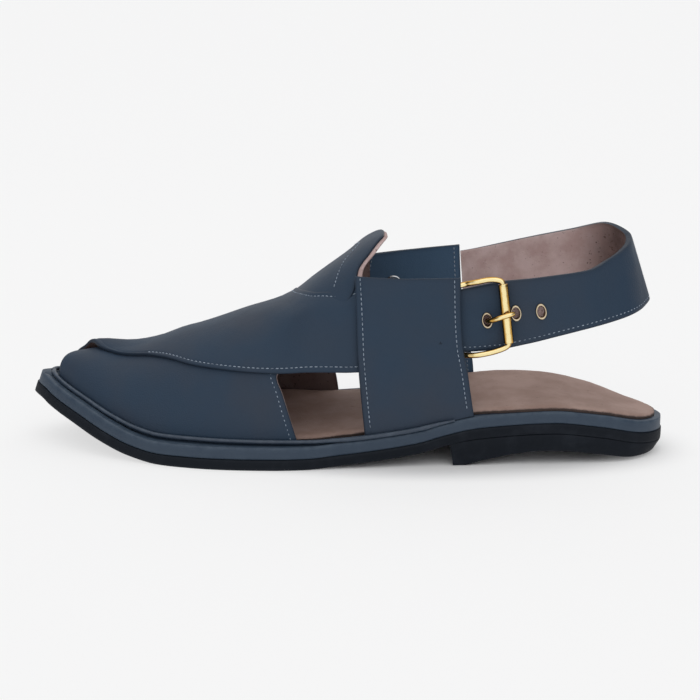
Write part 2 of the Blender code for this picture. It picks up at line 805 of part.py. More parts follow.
def strap_edges(row):
    """Top and bottom points of the outer face at a row position."""
    rows = [(i, *values) for i, values in enumerate(HEEL_STRAP)]
    spots = []
    for first in (1, 4):
        share = table_value(rows, first, row)
        turn = table_value(rows, first + 1, row)
        height = STRAP_TOP_HEIGHT * table_value(rows, first + 2, row)
        side = -1 if turn < 0 else 1
        near = strap_reach(height, -1)
        far = strap_reach(height, 1)
        reach = near if side < 0 else far
        spots.append(Vector((LENGTH * (share - 0.5), turn * reach, height)))
    return spots


def strap_frame(row, height_share):
    """Point on the outer face, and the directions along, up and outward there."""
    step = 0.05
    last_row = len(HEEL_STRAP) - 1
    top, bottom = strap_edges(row)
    before = strap_edges(max(row - step, 0.0))
    after = strap_edges(min(row + step, last_row))
    along = (after[0] + after[1] - before[0] - before[1]).normalized()
    up = (top - bottom).normalized()
    outward = along.cross(up).normalized()
    up = outward.cross(along).normalized()
    return bottom + (top - bottom) * height_share, along, up, outward


strap_sections = []
strap_steps = (len(HEEL_STRAP) - 1) * HEEL_STRAP_STEPS
for i in range(strap_steps + 1):
    row = i / HEEL_STRAP_STEPS
    top, bottom = strap_edges(row)
    outward = strap_frame(row, 0.5)[3]
    up = (top - bottom).normalized()
    thinned = (STRAP_THICKNESS - STRAP_END_THICKNESS) * ease(row, SKIVE_START, len(HEEL_STRAP) - 1)
    inside = -outward * (STRAP_THICKNESS - thinned)
    trim_out = -outward * STRAP_EDGE_ROUND
    trim_up = up * STRAP_EDGE_ROUND
    strap_sections.append([
        top + trim_out,
        top - trim_up,
        bottom + trim_up,
        bottom + trim_out,
        bottom + inside - trim_out,
        bottom + inside + trim_up,
        top + inside - trim_up,
        top + inside - trim_out,
    ])
heel_strap = loft("heel_strap", strap_sections, navy_leather)


def facing(point, along, up, outward):
    """Transform that puts X along, Y up and Z outward at a point."""
    return Matrix((
        (along.x, up.x, outward.x, point.x),
        (along.y, up.y, outward.y, point.y),
        (along.z, up.z, outward.z, point.z),
        (0.0, 0.0, 0.0, 1.0),
    ))


# Eyelets, each pressed through its own hole in the strap.
oval = Matrix.Diagonal((1.0, EYELET_OVAL, 1.0, 1.0))
barrel = EYELET_RADIUS + EYELET_WALL
flange = barrel + EYELET_FLANGE
depth = STRAP_THICKNESS - GAP
for eyelet_name, row, height_share in EYELETS:
    frame = facing(*strap_frame(row, height_share))
    ring = turned(
        eyelet_name,
        [
            (flange, GAP + EYELET_CAP),
            (flange, GAP),
            (barrel, GAP),
            (barrel, -depth),
            (EYELET_RADIUS, -depth),
            (EYELET_RADIUS, GAP + EYELET_CAP),
        ],
        EYELET_STEPS,
        brass,
    )
    lay(ring, frame @ oval)
    hole_data = bpy.data.meshes.new(eyelet_name + "_hole")
    hole_soup = bmesh.new()
    bmesh.ops.create_cone(
        hole_soup,
        cap_ends=True,
        segments=EYELET_STEPS,
        radius1=barrel + GAP,
        radius2=barrel + GAP,
        depth=4.0 * STRAP_THICKNESS,
    )
    hole_soup.to_mesh(hole_data)
    hole_soup.free()
    hole = bpy.data.objects.new(eyelet_name + "_hole", hole_data)
    hole.display_type = "WIRE"
    hole.hide_render = True
    cutters.objects.link(hole)
    lay(hole, frame @ oval)
    heel_strap = boolean(heel_strap, hole, "DIFFERENCE")


def buckle_point(share, height_share, out):
    """Middle of the buckle wire: under the wing at 0, over the strap at 1."""
    height = STRAP_TOP_HEIGHT * height_share
    x = LENGTH * (share - 0.5)
    inner_x = min(x, LENGTH * (WING_REAR_SHARE - 0.5))
    face = abs(wall_y(inner_x, height, -1, OUTER_WING_LIFT - GAP))
    return Vector((x, -(face - FRAME_WIRE + out * (FRAME_WIRE + GAP + ROLLER_RADIUS)), height))


frame_points = [buckle_point(*row) for row in BUCKLE_FRAME]
bar_mesh("buckle_frame", frame_points, FRAME_WIRE, True, brass)

# Roller turned round the bar of the frame.
roller_top = frame_points[0]
roller_bottom = frame_points[-1]
roller_axis = (roller_top - roller_bottom).normalized()
roller_half = (roller_top - roller_bottom).length / 2
roller_bore = FRAME_WIRE + GAP
roller_round = (ROLLER_RADIUS - roller_bore) / 3
roller = turned(
    "buckle_roller",
    [
        (ROLLER_RADIUS - roller_round, roller_half),
        (ROLLER_RADIUS, roller_half - roller_round),
        (ROLLER_RADIUS, roller_round - roller_half),
        (ROLLER_RADIUS - roller_round, -roller_half),
        (roller_bore, -roller_half),
        (roller_bore, roller_half),
    ],
    EYELET_STEPS,
    brass,
)
roller_side = roller_axis.cross(Vector((0.0, -1.0, 0.0))).normalized()
roller_front = roller_axis.cross(roller_side).normalized()
roller_middle = (roller_top + roller_bottom) / 2
lay(roller, facing(roller_middle, roller_side, roller_front, roller_axis))

# Prong from eyelet 1 over the roller.
prong_base, prong_along, prong_up, prong_out = strap_frame(EYELETS[0][1], EYELETS[0][2])
prong_points = []
for along_step, up_step, out_step in PRONG:
    offset = prong_along * along_step + prong_up * up_step + prong_out * out_step
    prong_points.append(prong_base + offset * ROLLER_RADIUS)
bar_mesh("buckle_prong", prong_points, PRONG_RADIUS, False, brass)

# Ring eyelet on the inner face of the inner wing.
washer_x = LENGTH * (WING_EYELET_SHARE - 0.5)
washer_spot = skin_point(washer_x, WING_EYELET_TURN, INNER_WING_LIFT)
washer_in = (skin_point(washer_x, WING_EYELET_TURN, 0.0) - washer_spot).normalized()
washer_along = Vector((0.0, 0.0, 1.0)).cross(washer_in).normalized()
washer_up = washer_in.cross(washer_along).normalized()
washer = turned(
    "wing_eyelet",
    [
        (WING_EYELET_RADIUS, GAP + EYELET_CAP),
        (WING_EYELET_RADIUS, GAP),
        (WING_EYELET_RADIUS / 2, GAP),
        (WING_EYELET_RADIUS / 2, GAP + EYELET_CAP),
    ],
    EYELET_STEPS,
    steel,
)
lay(washer, facing(washer_spot, washer_along, washer_up, washer_in))

# The row frame sits under the middle of the finished shoe.
corners = [vertex.co for thing in shoe.objects for vertex in thing.data.vertices]
middle_x = (max(c.x for c in corners) + min(c.x for c in corners)) / 2
middle_y = (max(c.y for c in corners) + min(c.y for c in corners)) / 2
for thing in shoe.objects:
    lay(thing, Matrix.Translation((-middle_x, -middle_y, 0.0)))
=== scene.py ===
"""Peshawari chappal, left shoe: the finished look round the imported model."""
import math
import random
from functools import lru_cache

import bmesh
import bpy
from mathutils import Matrix, Vector


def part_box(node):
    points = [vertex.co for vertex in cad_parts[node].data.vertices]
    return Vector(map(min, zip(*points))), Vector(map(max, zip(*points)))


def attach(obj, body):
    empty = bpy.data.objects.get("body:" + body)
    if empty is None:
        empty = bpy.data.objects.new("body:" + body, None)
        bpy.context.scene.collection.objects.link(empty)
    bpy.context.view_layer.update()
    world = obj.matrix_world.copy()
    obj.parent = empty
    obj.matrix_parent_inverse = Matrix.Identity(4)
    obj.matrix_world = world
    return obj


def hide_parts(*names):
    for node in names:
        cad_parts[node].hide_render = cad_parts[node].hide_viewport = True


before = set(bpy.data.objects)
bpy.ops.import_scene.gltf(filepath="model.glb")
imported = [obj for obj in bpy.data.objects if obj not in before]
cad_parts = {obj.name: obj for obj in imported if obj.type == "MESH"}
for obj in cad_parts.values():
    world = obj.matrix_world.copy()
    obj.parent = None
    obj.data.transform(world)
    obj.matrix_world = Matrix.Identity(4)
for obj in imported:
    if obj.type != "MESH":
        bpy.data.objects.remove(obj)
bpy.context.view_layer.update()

MM = 0.001

# ---- Studio: a pale sweep of paper under a bright ceiling, one softbox over the shoe, and the
# camera a little above the buckle side, at the photo's angle.
scene = bpy.context.scene
scene.view_settings.view_transform = "Standard"
CAMERA_PLACE = (23.56 * MM, -520.78 * MM, 163.95 * MM)
CAMERA_PITCH = 0.23026
CAMERA_YAW = -0.04027
CAMERA_ROLL = 0.00689
PICTURE_WIDTH = 700.0
CAMERA_FOCAL = 1187.4 / PICTURE_WIDTH
SENSOR = 36.0


def aim(pitch, yaw, roll):
    """Rotation of a camera that looks along +Y, turned by yaw, down by pitch, then rolled."""
    forward = Vector((
        math.sin(yaw) * math.cos(pitch), math.cos(yaw) * math.cos(pitch), -math.sin(pitch)
    ))
    right = Vector((math.cos(yaw), -math.sin(yaw), 0.0))
    up = right.cross(forward)
    turned_right = math.cos(roll) * right + math.sin(roll) * up
    turned_up = math.cos(roll) * up - math.sin(roll) * right
    return Matrix((turned_right, turned_up, -forward)).transposed()


lens = bpy.data.cameras.new("camera")
lens.sensor_width = SENSOR
lens.lens = SENSOR * CAMERA_FOCAL
camera = bpy.data.objects.new("camera", lens)
scene.collection.objects.link(camera)
turn = aim(CAMERA_PITCH, CAMERA_YAW, CAMERA_ROLL).to_4x4()
camera.matrix_world = Matrix.Translation(CAMERA_PLACE) @ turn
scene.camera = camera


class Dye:
    """One shader value; plain arithmetic on dyes adds the Math or Vector Math nodes."""

    def __init__(self, tree, socket):
        self.tree = tree
        self.socket = socket

    def node(self, kind, settings, sockets, output=0):
        """Add any node: settings first, then the values or links of its sockets."""
        made = self.tree.nodes.new(kind)
        for key, value in settings.items():
            setattr(made, key, value)
        for key, value in sockets.items():
            if isinstance(value, Dye):
                self.tree.links.new(value.socket, made.inputs[key])
            elif isinstance(value, tuple) and made.inputs[key].type == "RGBA":
                made.inputs[key].default_value = (*value[:3], 1.0)
            else:
                made.inputs[key].default_value = value
        return Dye(self.tree, made.outputs[output])

    def figure(self, operation, left, right):
        return self.node("ShaderNodeMath", {"operation": operation}, {0: left, 1: right})

    def __add__(self, other):
        return self.figure("ADD", self, other)

    def __radd__(self, other):
        return self.figure("ADD", other, self)

    def __sub__(self, other):
        return self.figure("SUBTRACT", self, other)

    def __rsub__(self, other):
        return self.figure("SUBTRACT", other, self)

    def __mul__(self, other):
        return self.figure("MULTIPLY", self, other)

    def __rmul__(self, other):
        return self.figure("MULTIPLY", other, self)

    def between(self, low, high):
        """Smooth 0 to 1 as the value goes from low to high."""
        return self.node(
            "ShaderNodeMapRange",
            {"interpolation_type": "SMOOTHSTEP"},
            {"Value": self, "From Min": low, "From Max": high},
        )

    def axis(self, name):
        """One coordinate of a vector."""
        return self.node("ShaderNodeSeparateXYZ", {}, {0: self}, output=name)

    def blend(self, first, second):
        """Colour between two colours by this value."""
        return self.node(
            "ShaderNodeMix", {"data_type": "RGBA"}, {0: self, 6: first, 7: second}, output=2
        )

    def stretched(self, factors):
        """Vector times a fixed vector."""
        return self.node(
            "ShaderNodeVectorMath", {"operation": "MULTIPLY"}, {0: self, 1: factors}
        )

    def cloud(self, size, detail=2.0, rough=0.5):
        """Soft noise whose lumps are about size metres wide."""
        return self.node(
            "ShaderNodeTexNoise",
            {},
            {"Vector": self, "Scale": 1.0 / size, "Detail": detail, "Roughness": rough},
        )

    def cells(self, size):
        """Distance in a cell pattern whose cells are about size metres wide."""
        return self.node("ShaderNodeTexVoronoi", {}, {"Vector": self, "Scale": 1.0 / size})


# The ceiling is one large soft light; the room is darker low down and to the left and right.
HORIZON_GREY = (0.82, 0.83, 0.86)
CEILING_WHITE = (1.06, 1.06, 1.06)
SIDE_GREY = (0.20, 0.20, 0.22)
WALL_WHITE = (0.913, 0.913, 0.916)
CEILING_RISE = (0.0, 0.70)
SIDE_TURN = (0.25, 0.75)
world = bpy.data.worlds.new("studio")
world.use_nodes = True
room = Dye(world.node_tree, None)
direction = room.node("ShaderNodeTexCoord", {}, {}, output="Generated")
bright = direction.axis("Z").between(*CEILING_RISE).blend(HORIZON_GREY, CEILING_WHITE)
sideways = (direction.axis("X") * direction.axis("X")).between(*SIDE_TURN)
# Past the end of the paper a plain white wall closes the picture; it gives the shoe no light.
wall_seen = room.node("ShaderNodeLightPath", {}, {}, output="Is Camera Ray")
studio_air = wall_seen.blend(sideways.blend(bright, SIDE_GREY), WALL_WHITE)
background = world.node_tree.nodes["Background"]
world.node_tree.links.new(studio_air.socket, background.inputs["Color"])
scene.world = world

# The paper lies flat under the shoe and rises in one wide curve behind it.
PAPER_HALF = 3.0
PAPER_FRONT = -2.5
PAPER_BEND = 0.9
PAPER_RADIUS = 1.2
PAPER_HEIGHT = 3.0
PAPER_STEPS = 24
profile = [(PAPER_FRONT, 0.0), (PAPER_BEND, 0.0)]
for i in range(1, PAPER_STEPS + 1):
    angle = math.pi / 2 * i / PAPER_STEPS
    profile.append((
        PAPER_BEND + PAPER_RADIUS * math.sin(angle), PAPER_RADIUS * (1.0 - math.cos(angle))
    ))
profile.append((PAPER_BEND + PAPER_RADIUS, PAPER_HEIGHT))
paper_points = [(side * PAPER_HALF, y, z) for y, z in profile for side in (-1, 1)]
paper_faces = [(2 * i, 2 * i + 1, 2 * i + 3, 2 * i + 2) for i in range(len(profile) - 1)]
paper_data = bpy.data.meshes.new("paper")
paper_data.from_pydata(paper_points, [], paper_faces)
paper_data.shade_smooth()
paper = bpy.data.objects.new("paper", paper_data)
scene.collection.objects.link(paper)
paper_look = bpy.data.materials.new("paper")
paper_look.use_nodes = True
paper_shader = paper_look.node_tree.nodes["Principled BSDF"]
paper_shader.inputs["Roughness"].default_value = 1.0
paper_shader.inputs["Specular IOR Level"].default_value = 0.0
paper_shader.inputs["Emission Strength"].default_value = 1.0
# Close to the shoe the paper is lit by the room alone and takes its shadow; further out part of
# its light comes from the paper itself, so that it stays one even white.
PAPER_NEAR = (0.90, 0.90, 0.90)
PAPER_FAR = (0.32, 0.32, 0.32)
PAPER_GLOW = (0.635, 0.635, 0.635)
SHADOW_HALF_LENGTH = 0.105
SHADOW_HALF_WIDTH = 0.046
SHADOW_MIDDLE = 0.030
SHADOW_FADE = (0.7, 1.7)
sheet_place = Dye(paper_look.node_tree, None).node("ShaderNodeTexCoord", {}, {}, output="Object")
along = (sheet_place.axis("X") - SHADOW_MIDDLE) * (1.0 / SHADOW_HALF_LENGTH)
aside = sheet_place.axis("Y") * (1.0 / SHADOW_HALF_WIDTH)
away = (along * along + aside * aside).between(*SHADOW_FADE)
paper_look.node_tree.links.new(
    away.blend(PAPER_NEAR, PAPER_FAR).socket, paper_shader.inputs["Base Color"]
)
paper_look.node_tree.links.new(
    away.blend((0.0, 0.0, 0.0), PAPER_GLOW).socket, paper_shader.inputs["Emission Color"]
)
paper_data.materials.append(paper_look)

# One softbox over the shoe gives its top faces their light.
SOFTBOX_SIZE = 1.6
SOFTBOX_POWER = 1.2
SOFTBOX_PLACE = (-0.10, -0.15, 1.60)
softbox_data = bpy.data.lights.new("softbox", "AREA")
softbox_data.size = SOFTBOX_SIZE
softbox_data.energy = SOFTBOX_POWER
softbox = bpy.data.objects.new("softbox", softbox_data)
scene.collection.objects.link(softbox)
softbox.location = SOFTBOX_PLACE

# ---- The sole and the last: the rubber and leather layers follow one underside with toe spring
# and a low heel, and the straps lie on one wooden last that stands on the sole's deck.
LENGTH = 285.0 * MM
BALL_WIDTH = 98.0 * MM
TOE_SPRING = 20.5 * MM
HEEL_RISE = 13.9 * MM
OUTSOLE_THICKNESS = 4.7 * MM
MIDSOLE_THICKNESS = 5.0 * MM
MIDSOLE_INSET = 0.5 * MM
GAP = 0.3 * MM
MIDSOLE_DEPTH = OUTSOLE_THICKNESS + GAP
DECK_DEPTH = MIDSOLE_DEPTH + MIDSOLE_THICKNESS + GAP
TILT_TIP = 0.055
TILT_START = 0.12
TILT_END = 0.24
TILT_STEP = LENGTH / 200
DECK_TRIES = 5
OUTLINE_SAMPLES = 400
TOE_LEDGE = 13.0 * MM
HEEL_LEDGE = 5.0 * MM
FEATHER_SHARE = 0.81
INSTEP_RISE = 78.0 * MM
CREST_SHIFT = 2.0 * MM
SHIFT_FADE = 5.0
SKIN_STEP = LENGTH / 700
TURN_STEP = 0.004

# Share of the length from the toe, fullness outside, fullness inside, shift of the middle line.
OUTLINE = [
    (0.000, 0.300, 0.280, 0.000), (0.035, 0.405, 0.395, 0.000), (0.070, 0.462, 0.480, 0.000),
    (0.120, 0.510, 0.535, 0.000), (0.180, 0.540, 0.545, 0.000), (0.280, 0.551, 0.530, 0.000),
    (0.400, 0.520, 0.455, 0.000), (0.520, 0.452, 0.388, 0.000), (0.660, 0.411, 0.360, 0.000),
    (0.750, 0.408, 0.388, -0.002), (0.820, 0.418, 0.425, -0.012), (0.880, 0.440, 0.448, -0.026),
    (0.930, 0.470, 0.464, -0.038), (0.970, 0.500, 0.474, -0.045), (1.000, 0.520, 0.474, -0.050),
]
# Share of the length, share of the toe spring, share of the heel rise.
UNDERSIDE = [
    (0.000, 1.000, 0.00), (0.020, 0.946, 0.00), (0.036, 0.849, 0.00), (0.084, 0.605, 0.00),
    (0.134, 0.322, 0.00), (0.181, 0.117, 0.00), (0.228, 0.007, 0.00), (0.250, 0.000, 0.00),
    (0.450, 0.000, 0.00), (0.500, 0.000, 0.08), (0.563, 0.000, 0.22), (0.620, 0.000, 0.40),
    (0.654, 0.000, 0.60), (0.700, 0.000, 0.81), (0.745, 0.000, 0.89), (0.820, 0.000, 0.955),
    (0.893, 0.000, 0.80), (0.960, 0.000, 0.51), (1.000, 0.000, 0.415),
]
# Share of the length, rise of the crest, squareness and flare of the section.
CREST = [
    (0.0456, 0.034, 2.2, 0.0), (0.049, 0.082, 2.3, 0.0), (0.056, 0.116, 2.4, 0.0),
    (0.068, 0.147, 2.4, 0.0), (0.086, 0.182, 2.4, 0.0), (0.114, 0.233, 2.3, 0.0),
    (0.154, 0.292, 2.2, 0.0), (0.193, 0.368, 2.1, 0.0), (0.245, 0.46, 2.1, 0.0),
    (0.271, 0.486, 2.1, 0.0), (0.347, 0.583, 2.2, 0.0), (0.384, 0.633, 2.3, 0.0),
    (0.405, 0.668, 2.35, 0.006), (0.423, 0.708, 2.45, 0.009), (0.458, 0.808, 2.8, 0.015),
    (0.508, 0.925, 3.2, 0.025), (0.537, 1.0, 3.5, 0.032), (0.56, 1.03, 3.8, 0.038),
    (0.605, 1.079, 4.2, 0.045), (0.718, 1.013, 4.6, 0.05),
]


def table_value(rows, column, at):
    """Smooth value of a table column, never overshooting its rows."""
    if at <= rows[0][0]:
        return rows[0][column]
    if at >= rows[-1][0]:
        return rows[-1][column]
    index = max(i for i in range(len(rows) - 1) if rows[i][0] <= at)

    def slope(i):
        return (rows[i + 1][column] - rows[i][column]) / (rows[i + 1][0] - rows[i][0])

    def tangent(i):
        if i == 0:
            return slope(0)
        if i == len(rows) - 1:
            return slope(i - 1)
        before, after = slope(i - 1), slope(i)
        return 0.0 if before * after <= 0.0 else 2.0 * before * after / (before + after)

    width = rows[index + 1][0] - rows[index][0]
    t = (at - rows[index][0]) / width
    return (
        (2 * t ** 3 - 3 * t ** 2 + 1) * rows[index][column]
        + (t ** 3 - 2 * t ** 2 + t) * width * tangent(index)
        + (3 * t ** 2 - 2 * t ** 3) * rows[index + 1][column]
        + (t ** 3 - t ** 2) * width * tangent(index + 1)
    )


def ease(at, start, end):
    t = min(max((at - start) / (end - start), 0.0), 1.0)
    return t * t * (3.0 - 2.0 * t)


def share_of(x):
    return x / LENGTH + 0.5


def half_width(share, side):
    inside = min(max(share, 0.0), 1.0)
    fullness = table_value(OUTLINE, 1 if side < 0 else 2, inside)
    return BALL_WIDTH * fullness * math.sqrt(4.0 * inside * (1.0 - inside))


def middle_line(share):
    return BALL_WIDTH * table_value(OUTLINE, 3, share)


def edge_y(x, side, inset):
    share = (x + LENGTH / 2 - inset) / (LENGTH - 2 * inset)
    half = half_width(share, side) * (1.0 - 2.0 * inset / BALL_WIDTH)
    return middle_line(share) + side * half


@lru_cache(maxsize=None)
def underside(x):
    share = share_of(x)
    toe = TOE_SPRING * table_value(UNDERSIDE, 1, share)
    return toe + HEEL_RISE * table_value(UNDERSIDE, 2, share)


@lru_cache(maxsize=None)
def toe_tilt(x):
    """Angle at which the sole rises towards the toe tip."""
    share = share_of(x)
    if share >= TILT_END:
        return 0.0
    spot = max(x, LENGTH * (TILT_TIP - 0.5))
    rise = underside(spot - TILT_STEP) - underside(spot + TILT_STEP)
    angle = math.atan2(rise, 2.0 * TILT_STEP)
    return angle * (1.0 - ease(share, TILT_START, TILT_END))


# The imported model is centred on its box, so everything drawn here moves over with it.
shift_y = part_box("outsole")[0].y - min(
    edge_y(LENGTH * (i / OUTLINE_SAMPLES - 0.5), -1, 0.0) for i in range(OUTLINE_SAMPLES + 1)
)


def sole_spot(x, y, depth):
    """Point of the sole at a depth square to its underside."""
    tilt = toe_tilt(x)
    return Vector((
        x + depth * math.sin(tilt), y + shift_y, underside(x) + depth * math.cos(tilt)
    ))


@lru_cache(maxsize=None)
def deck(x):
    """Height where the upper and the insole rest on the midsole."""
    start = x
    for _ in range(DECK_TRIES):
        start = x - DECK_DEPTH * math.sin(toe_tilt(start))
    return sole_spot(start, 0.0, DECK_DEPTH).z


@lru_cache(maxsize=None)
def feather(x, side):
    """Half width of the last where it meets the deck."""
    share = (x + LENGTH / 2 - TOE_LEDGE) / (LENGTH - TOE_LEDGE - HEEL_LEDGE)
    return FEATHER_SHARE * half_width(share, side)


@lru_cache(maxsize=None)
def last_section(x):
    share = share_of(x)
    return (
        INSTEP_RISE * table_value(CREST, 1, share),
        table_value(CREST, 2, share),
        INSTEP_RISE * table_value(CREST, 3, share),
    )


def last_point(x, around):
    """Point of the last; around runs -1 at the outer feather, 0 at the crest, +1 inside."""
    side = -1 if around < 0 else 1
    rise, squareness, flare = last_section(x)
    angle = min(abs(around), 1.0) * math.pi / 2
    reach = (math.sin(angle) ** squareness + math.cos(angle) ** squareness) ** (-1.0 / squareness)
    height = rise * reach * math.cos(angle)
    half = feather(x, side)
    wide = (half + flare * height / INSTEP_RISE) * reach * math.sin(angle)
    shift = CREST_SHIFT * math.cos(angle) ** 2 * min(1.0, SHIFT_FADE * half / BALL_WIDTH)
    return Vector((x, side * wide + shift, deck(x) + height))


def skin_normal(x, around):
    """Outward direction of the last's surface."""
    along = last_point(x + SKIN_STEP, around) - last_point(x - SKIN_STEP, around)
    after, before = min(around + TURN_STEP, 1.0), max(around - TURN_STEP, -1.0)
    across = last_point(x, after) - last_point(x, before)
    normal = along.cross(across).normalized()
    if normal.dot(last_point(x, around) - Vector((x, 0.0, deck(x)))) < 0.0:
        normal = -normal
    return normal


def skin_point(x, around, lift):
    """Point at a lift outside the last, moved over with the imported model."""
    point = last_point(x, around) + skin_normal(x, around) * lift
    point.z = max(point.z, deck(point.x))
    point.y += shift_y
    return point


# ---- Outsole and heel lift: black moulded rubber sheet and a rubber lift under it, cemented on
# and trimmed flush, so the edge is dull with fine vertical buffing marks.
OUTSOLE_BLACK = (0.0060, 0.0085, 0.0130)
OUTSOLE_DUST = (0.020, 0.024, 0.032)
HEEL_BREAST = 0.670
HEEL_ARCH = 5.6 * MM
BREAST_SLANT = 1.5 * MM
HEEL_TAPER = 2.8 * MM
HEEL_TAPER_START = 0.75
HEEL_TREAD = 0.06
HEEL_UNDERSIDE = [
    (0.0, 0.0), (0.06, 0.0), (0.11, 0.24), (0.17, 0.44), (0.23, 0.65), (0.28, 0.79), (0.42, 1.0),
    (0.52, 0.95), (0.67, 0.66), (0.85, 0.23), (1.0, 0.2),
]
SOLE_STATIONS = 150
LIFT_STATIONS = 75
TIP_SQUEEZE = 0.48
SEAM_CLOSED = 0.1 * GAP
WELD = 0.001 * MM
SOLE_SHARP = 40.0


class Finish:
    """A new material: its shader, its place in the shoe and its edge mark."""

    def __init__(self, name):
        self.material = bpy.data.materials.new(name)
        self.material.use_nodes = True
        tree = self.material.node_tree
        self.shader = tree.nodes["Principled BSDF"]
        self.start = Dye(tree, None)
        self.place = self.start.node("ShaderNodeTexCoord", {}, {}, output="Object")
        self.edge = self.start.node(
            "ShaderNodeAttribute", {"attribute_name": "edge"}, {}, output="Fac"
        )

    def set(self, **values):
        """Fixed values on the shader's own sockets, links for what varies."""
        for key, value in values.items():
            socket = self.shader.inputs[key.replace("_", " ")]
            if isinstance(value, Dye):
                value.tree.links.new(value.socket, socket)
            elif isinstance(value, tuple):
                socket.default_value = (*value, 1.0)
            else:
                socket.default_value = value

    def bump(self, height, depth):
        """Relief of a height from 0 to 1, depth in metres."""
        relief = self.start.node(
            "ShaderNodeBump", {}, {"Strength": 1.0, "Distance": depth, "Height": height}
        )
        self.set(Normal=relief)


def piece_from(name, soup, finishes, edge_marks, sharp):
    """Weld, orient and shade a bmesh, with its edge mark kept as a point attribute."""
    if edge_marks:
        soup.verts.index_update()
        marks = [(vertex.index, mark) for vertex, mark in edge_marks.items()]
        layer = soup.verts.layers.float.new("edge")
        soup.verts.ensure_lookup_table()
        for index, mark in marks:
            soup.verts[index][layer] = mark
    bmesh.ops.remove_doubles(soup, verts=soup.verts[:], dist=WELD)
    bmesh.ops.dissolve_degenerate(soup, edges=soup.edges[:], dist=WELD)
    bmesh.ops.recalc_face_normals(soup, faces=soup.faces[:])
    if soup.calc_volume(signed=True) < 0.0:
        bmesh.ops.reverse_faces(soup, faces=soup.faces[:])
    data = bpy.data.meshes.new(name)
    soup.to_mesh(data)
    soup.free()
    for finish in finishes:
        data.materials.append(finish.material)
    data.shade_smooth()
    data.set_sharp_from_angle(angle=math.radians(sharp))
    thing = bpy.data.objects.new(name, data)
    scene.collection.objects.link(thing)
    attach(thing, "root")
    return thing


def bridge(soup, rings, capped=True, lined=()):
    """Join rings of vertices into a skin; the lined places take the second finish."""
    count = len(rings[0])
    for first, second in zip(rings, rings[1:]):
        for k in range(count):
            j = (k + 1) % count
            face = soup.faces.new((first[k], first[j], second[j], second[k]))
            face.material_index = int(k in lined)
    if capped:
        soup.faces.new(rings[0])
        soup.faces.new(rings[-1][::-1])


def loft(name, sections, finish, marks, sharp):
    """Closed solid through sections; marks are the edge values of one side's points."""
    soup = bmesh.new()
    rings = [[soup.verts.new(point) for point in section] for section in sections]
    bridge(soup, rings)
    values = marks + marks[::-1]
    edge_marks = {vertex: values[i] for ring in rings for i, vertex in enumerate(ring)}
    return piece_from(name, soup, [finish], edge_marks, sharp)


rubber = Finish("rubber")
dust = rubber.place.cloud(9.0 * MM, 4.0, 0.6)
buffing = rubber.place.stretched((1.0, 1.0, 0.12)).cloud(0.9 * MM, 3.0)
pits = rubber.place.cloud(0.35 * MM, 2.0)
rubber.set(
    Base_Color=(dust.between(0.45, 0.80) * 0.55 + rubber.edge * 0.35).blend(
        OUTSOLE_BLACK, OUTSOLE_DUST
    ),
    Roughness=0.42 + 0.25 * dust + 0.10 * buffing,
    Specular_IOR_Level=0.12,
)
rubber.bump(buffing * 0.7 + pits * 0.3, 0.12 * MM)


def squeezed(points, width):
    """Shrink the insets where the tip is too narrow for them."""
    deepest = max(inset for inset, _ in points)
    factor = min(1.0, TIP_SQUEEZE * width / deepest)
    return [(inset * factor, high) for inset, high in points]


def across_sole(near, far, outer, inner):
    """Section from the (inset, height) points of its two edges."""
    near, far = squeezed(near, inner - outer), squeezed(far, inner - outer)
    return [(outer + inset, high) for inset, high in near] + [
        (inner - inset, high) for inset, high in reversed(far)
    ]


# Inset from the sole's edge and height over its underside.
OUTSOLE_EDGE = [
    (4.0 * MM, 0.0), (1.3 * MM, 0.0), (0.5 * MM, 0.14 * MM), (0.12 * MM, 0.55 * MM),
    (0.0, 1.2 * MM), (0.06 * MM, 2.4 * MM), (0.0, 3.6 * MM), (0.05 * MM, 4.35 * MM),
    (0.35 * MM, 4.7 * MM), (3.0 * MM, 4.7 * MM),
]
OUTSOLE_MARKS = [0.2, 0.6, 1.0, 0.8, 0.1, 0.0, 0.1, 0.6, 0.3, 0.0]
outsole_sections = []
for i in range(SOLE_STATIONS + 1):
    x = -math.cos(math.pi * i / SOLE_STATIONS) * LENGTH / 2
    outer, inner = edge_y(x, -1, 0.0), edge_y(x, 1, 0.0)
    spots = across_sole(OUTSOLE_EDGE, OUTSOLE_EDGE, outer, inner)
    outsole_sections.append([sole_spot(x, y, depth) for y, depth in spots])
outsole = loft("outsole_rubber", outsole_sections, rubber, OUTSOLE_MARKS, SOLE_SHARP)
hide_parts("outsole")

